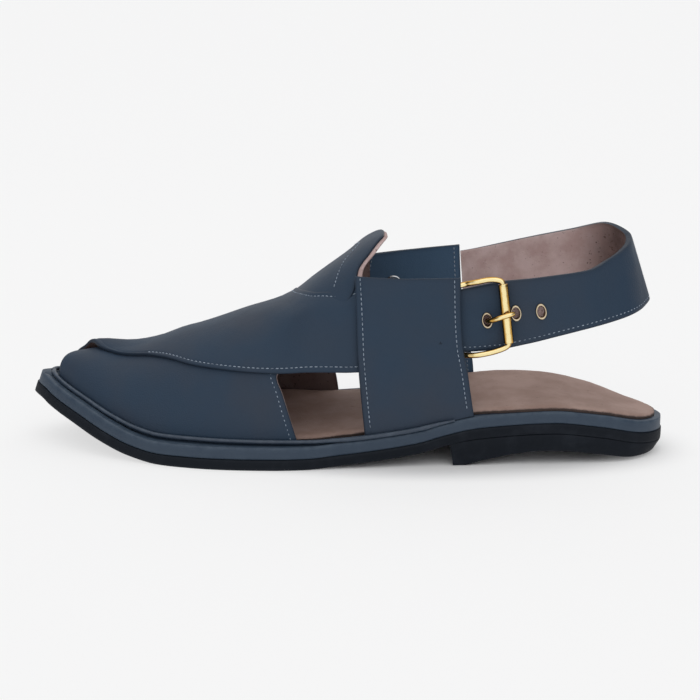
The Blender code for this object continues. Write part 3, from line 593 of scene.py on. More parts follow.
# Inset from the lift's edge in millimetres and share of its height.
LIFT_EDGE = [
    (4.0, 0.00), (1.2, 0.00), (0.4, 0.03), (0.0, 0.14), (0.05, 0.5), (0.0, 0.86), (0.3, 1.0),
    (3.0, 1.0),
]
LIFT_MARKS = [0.3, 0.8, 1.0, 0.4, 0.0, 0.1, 0.4, 0.0]
lift_sections = []
lift_front = LENGTH * (HEEL_BREAST - 0.5)
lift_parts = [0.0]
for i in range(LIFT_STATIONS + 1):
    quarter = math.pi / 2 * i / LIFT_STATIONS
    lift_parts.append(HEEL_TREAD + (1.0 - HEEL_TREAD) * math.sin(quarter))
for i, part in enumerate(lift_parts):
    x = lift_front + (LENGTH / 2 - lift_front) * part
    low = HEEL_ARCH * table_value(HEEL_UNDERSIDE, 1, part)
    high = underside(x) - SEAM_CLOSED
    outer, inner = edge_y(x, -1, 0.0), edge_y(x, 1, 0.0)
    half = [(inset * MM, low + rise * (high - low)) for inset, rise in LIFT_EDGE]
    spots = across_sole(half, half, outer, inner)
    section = [Vector((x, y + shift_y, z)) for y, z in spots]
    taper = HEEL_TAPER * ease(part, HEEL_TAPER_START, 1.0)
    for point in section:
        point.x -= taper * (high - point.z) / (high - low)
        if i == 0:
            point.x -= BREAST_SLANT * (point.z - low) / (high - low)
    lift_sections.append(section)
heel_lift = loft("heel_lift_rubber", lift_sections, rubber, LIFT_MARKS, SOLE_SHARP)
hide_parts("heel_lift")

# ---- Midsole: one thick layer of leather board, its edge trimmed, inked navy and polished, and
# its top pressed down into a groove beside the bead of the welt.
INK = (0.028, 0.046, 0.074)
INK_RUBBED = (0.085, 0.115, 0.150)
OVER_THICKNESS = 2.5 * MM
UNDER_THICKNESS = 2.0 * MM
CROSSING_LIFT = 1.3 * MM
WING_THICKNESS = 2.2 * MM
OUTER_WING_LIFT = OVER_THICKNESS + 2.0 * GAP
INNER_WING_LIFT = UNDER_THICKNESS + 2.0 * GAP
WELT_RADIUS = 0.9 * MM
WELT_END = 0.680
OVER_FOOT_LIFT = 0.12
WELT_WIDENING = (0.44, 0.53)
GROOVE_DEPTH = 0.75 * MM
GROOVE_FADE = 0.04
GROOVE_LEDGE = (0.3 * MM, 2.0 * MM)
RIM_LEAST = 1.6 * MM
MIDSOLE_SHARP = 55.0


def welt_reach(share, side):
    """How far outside the feather the middle of the welt bead runs."""
    if side < 0:
        front = GAP + UNDER_THICKNESS
        wing = OUTER_WING_LIFT + WING_THICKNESS
    else:
        front = GAP + OVER_FOOT_LIFT * CROSSING_LIFT + OVER_THICKNESS
        wing = INNER_WING_LIFT + WING_THICKNESS
    return front + (wing - front) * ease(share, *WELT_WIDENING) + GAP + WELT_RADIUS


inked_edge = Finish("inked_edge")
rub = inked_edge.place.cloud(5.0 * MM, 5.0, 0.65)
fibre = inked_edge.place.stretched((0.25, 0.25, 1.0)).cloud(0.5 * MM, 3.0)
inked_edge.set(
    Base_Color=(inked_edge.edge * 0.42 * rub.between(0.30, 0.65) + 0.22 * rub).blend(
        INK, INK_RUBBED
    ),
    Roughness=0.36 + 0.22 * rub,
    Specular_IOR_Level=0.28,
)
inked_edge.bump(fibre * 0.6 + rub * 0.4, 0.14 * MM)


def midsole_half(x, side):
    """Edge of the midsole at one side: rounded rim, groove beside the bead, flat under it."""
    ledge = abs(edge_y(x, side, MIDSOLE_INSET)) - feather(x, side)
    ledge -= welt_reach(share_of(x), side) + WELT_RADIUS
    groove = GROOVE_DEPTH * (1.0 - ease(share_of(x), WELT_END - GROOVE_FADE, WELT_END))
    groove *= ease(ledge, *GROOVE_LEDGE)
    rim = max(ledge, RIM_LEAST)
    top = MIDSOLE_THICKNESS
    return [
        (5.5 * MM, SEAM_CLOSED - GAP), (0.5 * MM, SEAM_CLOSED - GAP), (0.1 * MM, 0.05 * MM),
        (0.0, 0.7 * MM), (0.0, top * 0.5), (0.02 * MM, top - 1.4 * MM), (0.22 * MM, top - 0.6 * MM),
        (0.62 * MM, top - 0.15 * MM), (1.1 * MM, top), (rim * 0.62 + 0.3 * MM, top - groove * 0.1),
        (rim * 0.86 + 0.2 * MM, top - groove * 0.8), (rim + 0.25 * MM, top - groove),
        (rim + 1.2 * MM, top - groove * 0.5), (rim + 2.2 * MM, top),
    ]


MIDSOLE_MARKS = [0.0, 0.2, 0.5, 0.2, 0.0, 0.2, 0.7, 1.0, 0.9, 0.5, 0.1, 0.0, 0.0, 0.0]
midsole_sections = []
for i in range(SOLE_STATIONS + 1):
    x = -math.cos(math.pi * i / SOLE_STATIONS) * (LENGTH / 2 - MIDSOLE_INSET)
    outer, inner = edge_y(x, -1, MIDSOLE_INSET), edge_y(x, 1, MIDSOLE_INSET)
    spots = across_sole(midsole_half(x, -1), midsole_half(x, 1), outer, inner)
    midsole_sections.append([sole_spot(x, y, MIDSOLE_DEPTH + rise) for y, rise in spots])
midsole = loft("midsole_board", midsole_sections, inked_edge, MIDSOLE_MARKS, MIDSOLE_SHARP)
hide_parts("midsole")

# ---- Welt bead: a cord wrapped in thin navy leather, sewn into the groove round the front from
# wing to wing, rubbed smooth and shiny, and skived to nothing at both ends.
BEAD_NAVY = (0.022, 0.038, 0.064)
BEAD_RUBBED = (0.070, 0.095, 0.130)
BEAD_STEPS = 110
BEAD_SIDES = 14
BEAD_TAPER = 0.06
BEAD_END_SHARE = 0.35
BEAD_FULLNESS = 1.08
BEAD_SUNK = 0.2 * MM
BEAD_SHARP = 60.0

bead_leather = Finish("bead_leather")
wrap = bead_leather.place.cloud(3.0 * MM, 4.0, 0.6)
bead_leather.set(
    Base_Color=(wrap.between(0.35, 0.75) * 0.5 + bead_leather.edge * 0.35).blend(
        BEAD_NAVY, BEAD_RUBBED
    ),
    Roughness=0.30 + 0.22 * wrap,
)
bead_leather.bump(wrap * 0.5 + bead_leather.place.cloud(0.5 * MM, 2.0) * 0.5, 0.10 * MM)


def spoked(soup, middle, radius, side, up, count):
    """Round ring of vertices about a point, and the direction of each one from it."""
    spokes = []
    for k in range(count):
        angle = 2.0 * math.pi * k / count
        spokes.append(math.cos(angle) * side + math.sin(angle) * up)
    return [soup.verts.new(middle + radius * spoke) for spoke in spokes], spokes


feather_line = []
last_toe = -LENGTH / 2 + TOE_LEDGE
for i in range(-BEAD_STEPS, BEAD_STEPS + 1):
    part = (i / BEAD_STEPS) ** 2
    side = -1 if i < 0 else 1
    x = last_toe + (LENGTH * (WELT_END - 0.5) - last_toe) * part
    feather_line.append((Vector((x, side * feather(x, side), 0.0)), side))
bead_path = []
bead_radii = []
for i in range(1, len(feather_line) - 1):
    here, side = feather_line[i]
    run = feather_line[i + 1][0] - feather_line[i - 1][0]
    outward = Vector((-run.y, run.x, 0.0)).normalized()
    spot = here + outward * welt_reach(share_of(here.x), side)
    full = 1.0 - ease(share_of(here.x), WELT_END - BEAD_TAPER, WELT_END)
    radius = WELT_RADIUS * BEAD_FULLNESS * (BEAD_END_SHARE + (1.0 - BEAD_END_SHARE) * full)
    bead_path.append(Vector((spot.x, spot.y + shift_y, deck(spot.x) + radius - BEAD_SUNK)))
    bead_radii.append(radius)
bead_soup = bmesh.new()
bead_marks = {}
bead_rings = []
for i, point in enumerate(bead_path):
    ahead, behind = bead_path[min(i + 1, len(bead_path) - 1)], bead_path[max(i - 1, 0)]
    run = (ahead - behind).normalized()
    side = run.cross(Vector((0.0, 0.0, 1.0))).normalized()
    up = side.cross(run)
    ring, spokes = spoked(bead_soup, point, bead_radii[i], side, up, BEAD_SIDES)
    bead_marks.update((v, max(0.0, spoke.dot(up)) ** 2) for v, spoke in zip(ring, spokes))
    bead_rings.append(ring)
bridge(bead_soup, bead_rings)
welt = piece_from("welt_bead", bead_soup, [bead_leather], bead_marks, BEAD_SHARP)
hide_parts("welt")

# ---- Insole: undyed pinkish tan leather cemented on the midsole, pared thin at its edge, worn
# dark along the rim and speckled where glue and polish reached it.
INSOLE_TAN = (0.300, 0.200, 0.166)
INSOLE_PALE = (0.390, 0.275, 0.236)
INSOLE_STAIN = (0.045, 0.030, 0.026)
INSOLE_THICKNESS = 1.6 * MM
INSOLE_SIDE_GAP = 0.6 * MM
INSOLE_FLARE = ((0.61, 0.78), (0.64, 0.80))
INSOLE_TOE_GAP = 3.6 * MM
INSOLE_BACK_GAP = 2.8 * MM
INSOLE_TIP = 0.042
INSOLE_HEEL_TURN = (0.86, 0.95)
INSOLE_ARCH = 2.2 * MM
INSOLE_RISE = [
    (0.30, 0.00), (0.42, 0.90), (0.60, 1.00), (0.73, 0.95), (0.81, 0.55), (0.90, 0.30),
    (1.00, 0.00),
]
INSOLE_STATIONS = 150
INSOLE_LANES = 16
INSOLE_ROOT = 0.15 * MM
PARED_DEPTH = 0.9 * MM
PARED_WIDTH = 2.2 * MM
DISH_DEPTH = 0.35 * MM
DISH_RIM = (2.0 * MM, 22.0 * MM)
DISH_LENGTH = (0.66, 0.84)
LEAN_ACROSS = (0.15, 1.1)
INSOLE_WEAR = 1.6 * MM
NIBBLE_DEPTH = 0.07 * MM
NIBBLE_WAVES = 6
INSOLE_SHARP = 50.0

insole_leather = Finish("insole_leather")
patch = insole_leather.place.cloud(16.0 * MM, 4.0, 0.6)
fleck_size = insole_leather.place.cloud(2.2 * MM, 4.0, 0.75)
pore = insole_leather.place.cells(0.9 * MM)
scuff = insole_leather.place.stretched((0.15, 1.0, 1.0)).cloud(1.4 * MM, 4.0, 0.7)
ragged = insole_leather.place.cloud(2.5 * MM, 4.0, 0.7)
stain = insole_leather.edge * (0.55 + 0.9 * ragged)
insole_base = patch.between(0.30, 0.70).blend(INSOLE_TAN, INSOLE_PALE)
speckled = (fleck_size.between(0.60, 0.72) * 0.38 + scuff.between(0.62, 0.80) * 0.25).blend(
    insole_base, INSOLE_STAIN
)
insole_leather.set(
    Base_Color=stain.between(0.42, 0.95).blend(speckled, INSOLE_STAIN),
    Roughness=0.62 + 0.22 * patch,
    Specular_IOR_Level=0.25,
)
insole_leather.bump(pore * 0.35 + fleck_size * 0.40 + scuff * 0.25, 0.16 * MM)


def insole_y(x, side):
    """Insole edge: inside the last in front, out to the midsole edge behind the wings."""
    start, end = INSOLE_FLARE[0 if side < 0 else 1]
    front = side * (feather(x, side) - INSOLE_SIDE_GAP)
    rear = edge_y(x, side, MIDSOLE_INSET) - side * 2.0 * INSOLE_SIDE_GAP
    heel_line = edge_y(x, side, MIDSOLE_INSET + INSOLE_BACK_GAP)
    rear += (heel_line - rear) * ease(share_of(x), *INSOLE_HEEL_TURN)
    return front + (rear - front) * ease(share_of(x), start, end)


random.seed(7)
nibble_phases = [random.uniform(0.0, 6.28) for _ in range(NIBBLE_WAVES)]


def nibble(at):
    """Uneven hand-cut edge, in metres."""
    waves = sum(math.sin(at * (61.0 + 47.0 * k) + phase) for k, phase in enumerate(nibble_phases))
    return NIBBLE_DEPTH * waves


insole_soup = bmesh.new()
insole_marks = {}
insole_rings = []
insole_front = -LENGTH / 2 + TOE_LEDGE + INSOLE_TOE_GAP
insole_back = LENGTH / 2 - MIDSOLE_INSET - INSOLE_BACK_GAP
for i in range(INSOLE_STATIONS + 1):
    part = (1.0 - math.cos(math.pi * i / INSOLE_STATIONS)) / 2
    x = insole_front + (insole_back - insole_front) * part
    fade = math.sqrt(min(1.0, part / INSOLE_TIP))
    cut = fade * math.sqrt(min(1.0, (1.0 - part) / INSOLE_TIP))
    arch = INSOLE_ARCH * table_value(INSOLE_RISE, 1, share_of(x))
    middle = middle_line(share_of(x))
    outer = middle + (insole_y(x, -1) - middle) * fade + nibble(part) * cut
    inner = middle + (insole_y(x, 1) - middle) * fade + nibble(part + 2.0) * cut
    tops = []
    bottoms = []
    for j in range(INSOLE_LANES + 1):
        across = (1.0 - math.cos(math.pi * j / INSOLE_LANES)) / 2
        y = outer + (inner - outer) * across
        rim = min(y - outer, inner - y)
        thin = PARED_DEPTH * (1.0 - ease(rim, 0.0, PARED_WIDTH))
        dish = DISH_DEPTH * ease(rim, *DISH_RIM) * ease(share_of(x), *DISH_LENGTH)
        lean = arch * ease(across, *LEAN_ACROSS) / ease(1.0, *LEAN_ACROSS)
        high = DECK_DEPTH + INSOLE_THICKNESS + lean - thin - dish
        tops.append(insole_soup.verts.new(sole_spot(x, y, high)))
        bottoms.append(insole_soup.verts.new(sole_spot(x, y, DECK_DEPTH - INSOLE_ROOT)))
        end_rim = min(x - insole_front, insole_back - x)
        insole_marks[tops[-1]] = math.exp(-min(rim, end_rim) / INSOLE_WEAR)
        insole_marks[bottoms[-1]] = 1.0
    insole_rings.append(tops + bottoms[::-1])
bridge(insole_soup, insole_rings)
insole = piece_from("insole_leather", insole_soup, [insole_leather], insole_marks, INSOLE_SHARP)
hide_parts("insole")

# ---- Under strap: navy calf turned in at its edges over a thin pinkish lining. It starts at the
# outer side, runs up over the toes under the other strap and ends in the flap on the instep.
NAVY = (0.0235, 0.0445, 0.0760)
NAVY_WARM = (0.0340, 0.0450, 0.0660)
NAVY_EDGE = (0.0120, 0.0210, 0.0360)
# Wing inner faces: a much lighter navy, painted light that makes up for the shade inside the shoe.
NAVY_INSIDE_PAINTED_LIGHT = (0.0540, 0.1030, 0.1700)
LINING_TAN = (0.455, 0.320, 0.300)
LINING_PALE = (0.585, 0.450, 0.435)
LINING_DARK = (0.090, 0.055, 0.048)
LINING_THICKNESS = 0.8 * MM
LINING_SHOW = 2.0 * MM
TOE_LINING_SHOW = 0.5 * MM
EDGE_STEPS = (0.0, 0.08, 0.25, 0.55, 1.0, 1.6, 2.2, 2.6, 3.0, 3.6)
EDGE_ROUND = 0.9 * MM
EDGE_DROP = 0.65 * MM
STITCH_INSET = 2.6 * MM
TROUGH_DEPTH = 0.20 * MM
TROUGH_HALF = 0.55 * MM
RULER_STEPS = 20
MIDDLE_LANES = 22
STRAP_STATIONS = 130
EDGE_WEAR = 0.6 * MM
DROP_LIMIT = 0.55
UNDER_ROUND = 0.25
NARROW_SHARE = 0.4
LINING_CLEAR = 0.05 * MM
LEATHER_SHARP = 50.0
# Shares along the strap between which its lining comes out past the edge and goes back in.
TOE_SHOW = ((0.16, 0.22), (0.30, 0.36))
FLAP_SHOW = ((0.38, 0.46), (0.84, 0.92))

# Share along the strap; front edge as share of the length and turn round the last; rear edge.
UNDER_STRAP = [
    (0.0, 0.05, -1.0, 0.437, -1.0), (0.07, 0.051, -0.6, 0.426, -0.88),
    (0.14, 0.056, -0.2, 0.415, -0.76), (0.21, 0.066, 0.0, 0.406, -0.67),
    (0.28, 0.083, 0.01, 0.42, -0.61), (0.35, 0.104, 0.015, 0.486, -0.555),
    (0.42, 0.125, 0.04, 0.522, -0.49), (0.48, 0.152, 0.13, 0.527, -0.412),
    (0.54, 0.185, 0.26, 0.542, -0.36), (0.6, 0.225, 0.36, 0.554, -0.29),
    (0.65, 0.265, 0.44, 0.563, -0.2), (0.69, 0.305, 0.5, 0.563, -0.06),
    (0.73, 0.345, 0.56, 0.56, 0.08), (0.78, 0.385, 0.61, 0.546, 0.24),
    (0.84, 0.43, 0.68, 0.534, 0.385), (0.91, 0.485, 0.75, 0.537, 0.47),
    (0.96, 0.515, 0.78, 0.537, 0.52), (1.0, 0.546, 0.8, 0.537, 0.57),
]


def calf(name, colour, warm):
    """Smooth dyed calf: fine grain, faint creases, a warmer cast in places, dark rubbed edges."""
    finish = Finish(name)
    tone = finish.place.cloud(26.0 * MM, 3.0, 0.55)
    warmth = finish.place.cloud(42.0 * MM, 2.0, 0.5)
    handling = finish.place.cloud(6.0 * MM, 4.0, 0.65)
    grain = finish.place.cells(0.75 * MM)
    pores = finish.place.cloud(0.3 * MM, 2.0)
    creases = finish.place.stretched((1.0, 0.5, 1.0)).cloud(9.0 * MM, 3.0, 0.6)
    cast = tone.between(0.35, 0.70) * 0.35 + warmth.between(0.45, 0.70) * 0.55
    finish.set(
        Base_Color=(finish.edge * 0.75).blend(cast.blend(colour, warm), NAVY_EDGE),
        Roughness=0.50 + 0.14 * handling - 0.10 * finish.edge,
        Specular_IOR_Level=0.22,
    )
    finish.bump(grain * 0.22 + pores * 0.18 + handling * 0.20 + creases * 0.40, 0.22 * MM)
    return finish


def pigskin(name, depth, bend=None):
    """Pinkish lining: blotched, specked with dark pores, soiled at its edges; depth adds an even
    painted shade, and bend adds painted shade that grows along X between two places.
    """
    finish = Finish(name)
    blotch = finish.place.cloud(11.0 * MM, 4.0, 0.6)
    speck = finish.place.cloud(1.9 * MM, 3.0, 0.7)
    pore = finish.place.cells(2.6 * MM)
    suede = finish.place.cloud(0.5 * MM, 3.0, 0.6)
    # depth adds an even painted shade over the whole lining; shaded_lining uses it for the strap
    # undersides.
    soil = speck.between(0.60, 0.72) * 0.40 + finish.edge * 0.30 + depth
    soil = soil + (1.0 - pore.between(0.03, 0.19)) * blotch.between(0.42, 0.57) * 0.62
    # Painted shade where the lining lies in the bend of a strap.
    if bend:
        soil = soil + finish.place.axis("X").between(*bend) * (0.50 + 0.60 * blotch)
    body = blotch.between(0.32, 0.68).blend(LINING_TAN, LINING_PALE)
    finish.set(
        Base_Color=soil.between(0.0, 1.0).blend(body, LINING_DARK),
        Roughness=0.72 + 0.15 * blotch,
        Specular_IOR_Level=0.25,
    )
    finish.bump(suede * 0.45 + speck * 0.30 + blotch * 0.25, 0.20 * MM)
    return finish


navy_leather = calf("navy_leather_finish", NAVY, NAVY_WARM)
lining_leather = pigskin("lining_leather", 0.0)
shaded_lining = pigskin("shaded_lining", 0.70)


def edges_at(rows, along):
    return [table_value(rows, column, along) for column in (1, 2, 3, 4)]


def strap_spot(edges, across):
    """Place on the last between a strap's edges."""
    x = LENGTH * (edges[0] + (edges[2] - edges[0]) * across - 0.5)
    return x, edges[1] + (edges[3] - edges[1]) * across


def walk(points):
    """Distance walked from the first point to each point."""
    walked = [0.0]
    for first, second in zip(points, points[1:]):
        walked.append(walked[-1] + (second - first).length)
    return walked


def ruler(edges, spot, lift):
    """Distances along the leather from the front edge, at even shares across."""
    places = [spot(edges, k / RULER_STEPS) for k in range(RULER_STEPS + 1)]
    return walk([skin_point(x, around, lift) for x, around in places])


def share_across(walked, distance):
    """Share across the strap at a distance from the front edge, past the edges too."""
    k = 0
    while k < RULER_STEPS - 1 and walked[k + 1] < distance:
        k += 1
    return (k + (distance - walked[k]) / (walked[k + 1] - walked[k])) / RULER_STEPS


def lanes_over(width):
    """Distances across a strap, close together at both edges."""
    factor = min(1.0, NARROW_SHARE * width / (EDGE_STEPS[-1] * MM))
    near = [step * MM * factor for step in EDGE_STEPS]
    span = width - 2.0 * near[-1]
    middle = [near[-1] + span * k / MIDDLE_LANES for k in range(1, MIDDLE_LANES)]
    return near + middle + [width - step for step in reversed(near)]


def edge_drop(distance):
    """How far a turned edge rounds down."""
    part = max(0.0, 1.0 - distance / EDGE_ROUND)
    return EDGE_DROP * (1.0 - math.sqrt(1.0 - part * part))


def trough(distance):
    """How far a row of stitches pulls the leather down."""
    return TROUGH_DEPTH * math.exp(-(((distance - STITCH_INSET) / TROUGH_HALF) ** 2))


def sheet(name, rows, spot, lifts, finishes, stations, sewn=(True, True), show=None):
    """Leather between two edge lines, its upper and lower face at lifts off the last."""
    soup = bmesh.new()
    marks = {}
    rings = []
    for along, from_top in stations:
        edges = edges_at(rows, along)
        walked = ruler(edges, spot, lifts(along, 0.5)[1])
        before, after = show(along) if show else (0.0, 0.0)
        width = walked[-1] + before + after
        lower = []
        upper = []
        for distance in lanes_over(width):
            across = share_across(walked, distance - before)
            x, around = spot(edges, across)
            low, high = lifts(along, min(max(across, 0.0), 1.0))
            nearest = min(distance, width - distance, from_top)
            drop = min(edge_drop(nearest), DROP_LIMIT * (high - low))
            drop += trough(distance) * sewn[0] + trough(width - distance) * sewn[1]
            upper.append(soup.verts.new(skin_point(x, around, high - drop)))
            rounded = low + UNDER_ROUND * edge_drop(nearest)
            lower.append(soup.verts.new(skin_point(x, around, rounded)))
            marks[upper[-1]] = marks[lower[-1]] = math.exp(-nearest / EDGE_WEAR)
        rings.append(upper + lower[::-1])
    count = len(rings[0])
    bridge(soup, rings, False, range(count // 2, count - 1))
    for ring in (rings[0], rings[-1]):
        for j in range(count // 2 - 1):
            soup.faces.new((ring[j], ring[j + 1], ring[count - 2 - j], ring[count - 1 - j]))
    return piece_from(name, soup, finishes, marks, LEATHER_SHARP)


def under_lifts(along, across):
    return GAP + LINING_THICKNESS + LINING_CLEAR, GAP + UNDER_THICKNESS


def under_lining_lifts(along, across):
    return GAP, GAP + LINING_THICKNESS


def lining_show(along):
    """How far the lining stands past the front and the rear edge of the under strap."""
    toe = TOE_LINING_SHOW * ease(along, *TOE_SHOW[0]) * (1.0 - ease(along, *TOE_SHOW[1]))
    flap = LINING_SHOW * ease(along, *FLAP_SHOW[0]) * (1.0 - ease(along, *FLAP_SHOW[1]))
    flap *= 1.0 - 0.6 * math.exp(-((along - 0.71) / 0.07) ** 2)
    return toe, flap


strap_stations = [(i / STRAP_STATIONS, math.inf) for i in range(STRAP_STATIONS + 1)]
under_strap = sheet(
    "under_strap", UNDER_STRAP, strap_spot, under_lifts, [navy_leather, navy_leather],
    strap_stations, (False, False),
)
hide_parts("upper")
under_lining = sheet(
    "under_strap_lining", UNDER_STRAP, strap_spot, under_lining_lifts,
    [lining_leather, shaded_lining], strap_stations, (False, False), lining_show,
)
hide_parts("upper")

# ---- Thread: pale blue-grey waxed thread, lock-stitched about twelve to the inch, each stitch
# pulled down into the leather at both ends. The under strap is sewn at its rear edge and flap.
THREAD_PALE = (0.300, 0.360, 0.440)
THREAD_SOILED = (0.110, 0.140, 0.185)
STITCH_PITCH = 2.1 * MM
STITCH_LENGTH = 1.40 * MM
THREAD_RADIUS = 0.21 * MM
THREAD_RINGS = 6
THREAD_SIDES = 6
THREAD_ARCH = 0.30 * MM
THREAD_SUNK = 0.14 * MM
THREAD_TIP = 0.62
THREAD_LOOK = 0.1 * MM
THREAD_SHARP = 60.0
STITCH_START = 0.2
STITCH_STRAY = 0.03
STITCH_SWAY = 0.05
UNDER_SEAM = (0.005, 0.235)
SEAM_POINTS = 90
FLAP_POINTS = 60
# The seam that holds the flap's facing: share of the seam, share of the length, turn.
FLAP_SEAM = [
    (0.00, 0.4916, -0.408), (0.14, 0.4951, -0.367), (0.32, 0.5008, -0.291),
    (0.47, 0.5070, -0.224), (0.66, 0.5185, -0.160), (0.82, 0.5275, -0.060),
    (0.92, 0.5240, 0.050), (1.00, 0.5190, 0.120),
]

thread = Finish("waxed_thread")
soil = thread.place.cloud(3.5 * MM, 3.0, 0.6)
twist = thread.place.cloud(0.18 * MM, 1.0)
thread.set(
    Base_Color=soil.between(0.40, 0.75).blend(THREAD_PALE, THREAD_SOILED),
    Roughness=0.55 + 0.2 * soil,
)
thread.bump(twist, 0.05 * MM)


def seam_line(rows, spot, lifts, start, end, inset, from_rear, side=1.0):
    """Points and outward directions of a seam at an inset from a strap's edge."""
    line = []
    for i in range(SEAM_POINTS + 1):
        along = start + (end - start) * i / SEAM_POINTS
        edges = edges_at(rows, along)
        walked = ruler(edges, spot, lifts(along, 0.5)[1])
        across = share_across(walked, walked[-1] - inset if from_rear else inset)
        x, around = spot(edges, across)
        low, high = lifts(along, across)
        normal = skin_normal(x, around)
        lift = high - TROUGH_DEPTH if side > 0.0 else low
        line.append((skin_point(x, around, lift), normal * side))
    return line


def at_length(line, walked, distance):
    """Point and direction of a line at a walked distance."""
    k = 0
    while k < len(line) - 2 and walked[k + 1] < distance:
        k += 1
    t = (distance - walked[k]) / max(walked[k + 1] - walked[k], 1e-9)
    point = line[k][0].lerp(line[k + 1][0], t)
    return point, line[k][1].lerp(line[k + 1][1], t).normalized()


def sew(name, lines):
    """Stitches along seam lines, as one piece of thread."""
    soup = bmesh.new()
    hand = random.Random(len(name))
    for line in lines:
        walked = walk([point for point, _ in line])
        for k in range(int(walked[-1] / STITCH_PITCH)):
            stray = hand.uniform(-STITCH_STRAY, STITCH_STRAY)
            start = (k + STITCH_START + stray) * STITCH_PITCH
            sway = hand.uniform(-STITCH_SWAY, STITCH_SWAY) * MM
            rings = []
            for i in range(THREAD_RINGS):
                part = i / (THREAD_RINGS - 1)
                point, outward = at_length(line, walked, start + STITCH_LENGTH * part)
                ahead, _ = at_length(line, walked, start + STITCH_LENGTH * part + THREAD_LOOK)
                run = (ahead - point).normalized()
                side = run.cross(outward).normalized()
                arch = math.sin(math.pi * part)
                middle = point + outward * (THREAD_ARCH * arch - THREAD_SUNK)
                middle += side * (sway * (2.0 * part - 1.0))
                radius = THREAD_RADIUS * (THREAD_TIP + (1.0 - THREAD_TIP) * arch)
                rings.append(spoked(soup, middle, radius, side, outward, THREAD_SIDES)[0])
            bridge(soup, rings)
    piece = piece_from(name, soup, [thread], None, THREAD_SHARP)
    return piece


flap_seam = []
for i in range(FLAP_POINTS + 1):
    x = LENGTH * (table_value(FLAP_SEAM, 1, i / FLAP_POINTS) - 0.5)
    around = table_value(FLAP_SEAM, 2, i / FLAP_POINTS)
    flap_seam.append((skin_point(x, around, GAP + UNDER_THICKNESS), skin_normal(x, around)))
sew("under_strap_stitches", [
    seam_line(UNDER_STRAP, strap_spot, under_lifts, *UNDER_SEAM, STITCH_INSET, True), flap_seam,
])

# ---- Over strap: the second strap of the cross, from the inner side of the toe over the under
# strap to the outer side, sewn along both edges, its front edge curling up over the toe opening.
# As the under strap, and how much of the crossing lift the strap has there.
OVER_STRAP = [
    (0.0, 0.054, 1.0, 0.486, 1.0, 0.12), (0.1, 0.059, 0.65, 0.48, 0.9, 0.18),
    (0.2, 0.07, 0.33, 0.452, 0.72, 0.35), (0.27, 0.085, 0.14, 0.438, 0.55, 0.7),
    (0.31, 0.096, 0.02, 0.431, 0.42, 1.0), (0.37, 0.114, -0.155, 0.427, 0.2, 1.0),
    (0.45, 0.138, -0.226, 0.431, 0.01, 1.0), (0.55, 0.196, -0.302, 0.438, -0.135, 1.0),
    (0.65, 0.268, -0.483, 0.449, -0.25, 1.0), (0.75, 0.346, -0.598, 0.463, -0.34, 1.0),
    (0.85, 0.422, -0.67, 0.485, -0.409, 0.75), (0.95, 0.505, -0.752, 0.509, -0.466, 0.04),
    (1.0, 0.552, -0.79, 0.552, -0.52, 0.0),
]
LIP_RISE = 2.2 * MM
LIP_AT = 0.31
LIP_SPREAD = 0.045
LIP_DEPTH = 0.35
OVER_INNER = 0.75 * MM
OVER_SKIVE = 1.3 * MM
SKIVE_FROM = 0.72
# Shares along the strap where each seam starts and ends, and whether it follows the rear edge.
OVER_SEAMS = ((0.54, 0.985, False), (0.02, 0.22, False), (0.01, 0.985, True))


def over_lifts(along, across):
    extra = table_value(OVER_STRAP, 5, along) * CROSSING_LIFT
    near = math.exp(-((along - LIP_AT) / LIP_SPREAD) ** 2)
    base = GAP + extra + LIP_RISE * near * (1.0 - ease(across, 0.0, LIP_DEPTH))
    base -= OVER_SKIVE * ease(across, SKIVE_FROM, 1.0)
    return base + OVER_INNER, base + OVER_THICKNESS


over_strap = sheet(
    "over_strap", OVER_STRAP, strap_spot, over_lifts, [navy_leather, shaded_lining],
    strap_stations,
)
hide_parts("upper")
sew("over_strap_stitches", [
    seam_line(OVER_STRAP, strap_spot, over_lifts, start, end, STITCH_INSET, from_rear)
    for start, end, from_rear in OVER_SEAMS
])

# ---- Wings: two side straps of folded navy leather, the fold at the top, sewn down both edges
# through both layers and lasted under the insole. The outer one has a small nick near the buckle.
WING_TOP = 82.0 * MM
WING_STATIONS = 40
HEIGHT_TRIES = 16
WING_SEAM = (0.006, 0.975)
NICK_SHARP = 60.0
# Share down the wing; front edge as share of the length and of the height; rear edge.
OUTER_WING = [
    (0.0, 0.5275, 0.968, 0.673, 0.98), (0.28, 0.5255, 0.733, 0.675, 0.7),
    (0.52, 0.525, 0.554, 0.679, 0.5), (0.7, 0.5265, 0.414, 0.686, 0.34),
    (0.88, 0.531, 0.2, 0.693, 0.14), (1.0, 0.536, 0.0, 0.698, 0.0),
]
INNER_WING = [
    (0.00, 0.535, 0.970, 0.683, 1.055), (0.28, 0.525, 0.750, 0.687, 0.780),
    (0.52, 0.521, 0.560, 0.693, 0.530), (0.70, 0.522, 0.410, 0.700, 0.340),
    (0.88, 0.530, 0.200, 0.710, 0.140), (1.00, 0.539, 0.000, 0.713, 0.000),
]


@lru_cache(maxsize=None)
def around_at_height(x, height, side, lift):
    """Turn round the last where its lifted surface reaches a height."""
    low, high = 0.0, 1.0
    for _ in range(HEIGHT_TRIES):
        middle = (low + high) / 2
        if skin_point(x, side * middle, lift).z > height:
            low = middle
        else:
            high = middle
    return side * low


def wing_spot(side, lift):
    """Place on the last between a wing's edges, which are given by height."""

    def spot(edges, across):
        x = LENGTH * (edges[0] + (edges[2] - edges[0]) * across - 0.5)
        rise = edges[1] + (edges[3] - edges[1]) * across
        height = deck(x) + rise * (WING_TOP - deck(x))
        return x, around_at_height(x, height, side, lift)

    return spot


wing_height = WING_TOP - 2.0 * DECK_DEPTH
wing_stations = [(step * MM / wing_height, step * MM) for step in EDGE_STEPS]
wing_start = wing_stations[-1][0]
for i in range(1, WING_STATIONS + 1):
    share = wing_start + (1.0 - wing_start) * i / WING_STATIONS
    wing_stations.append((share, share * wing_height))
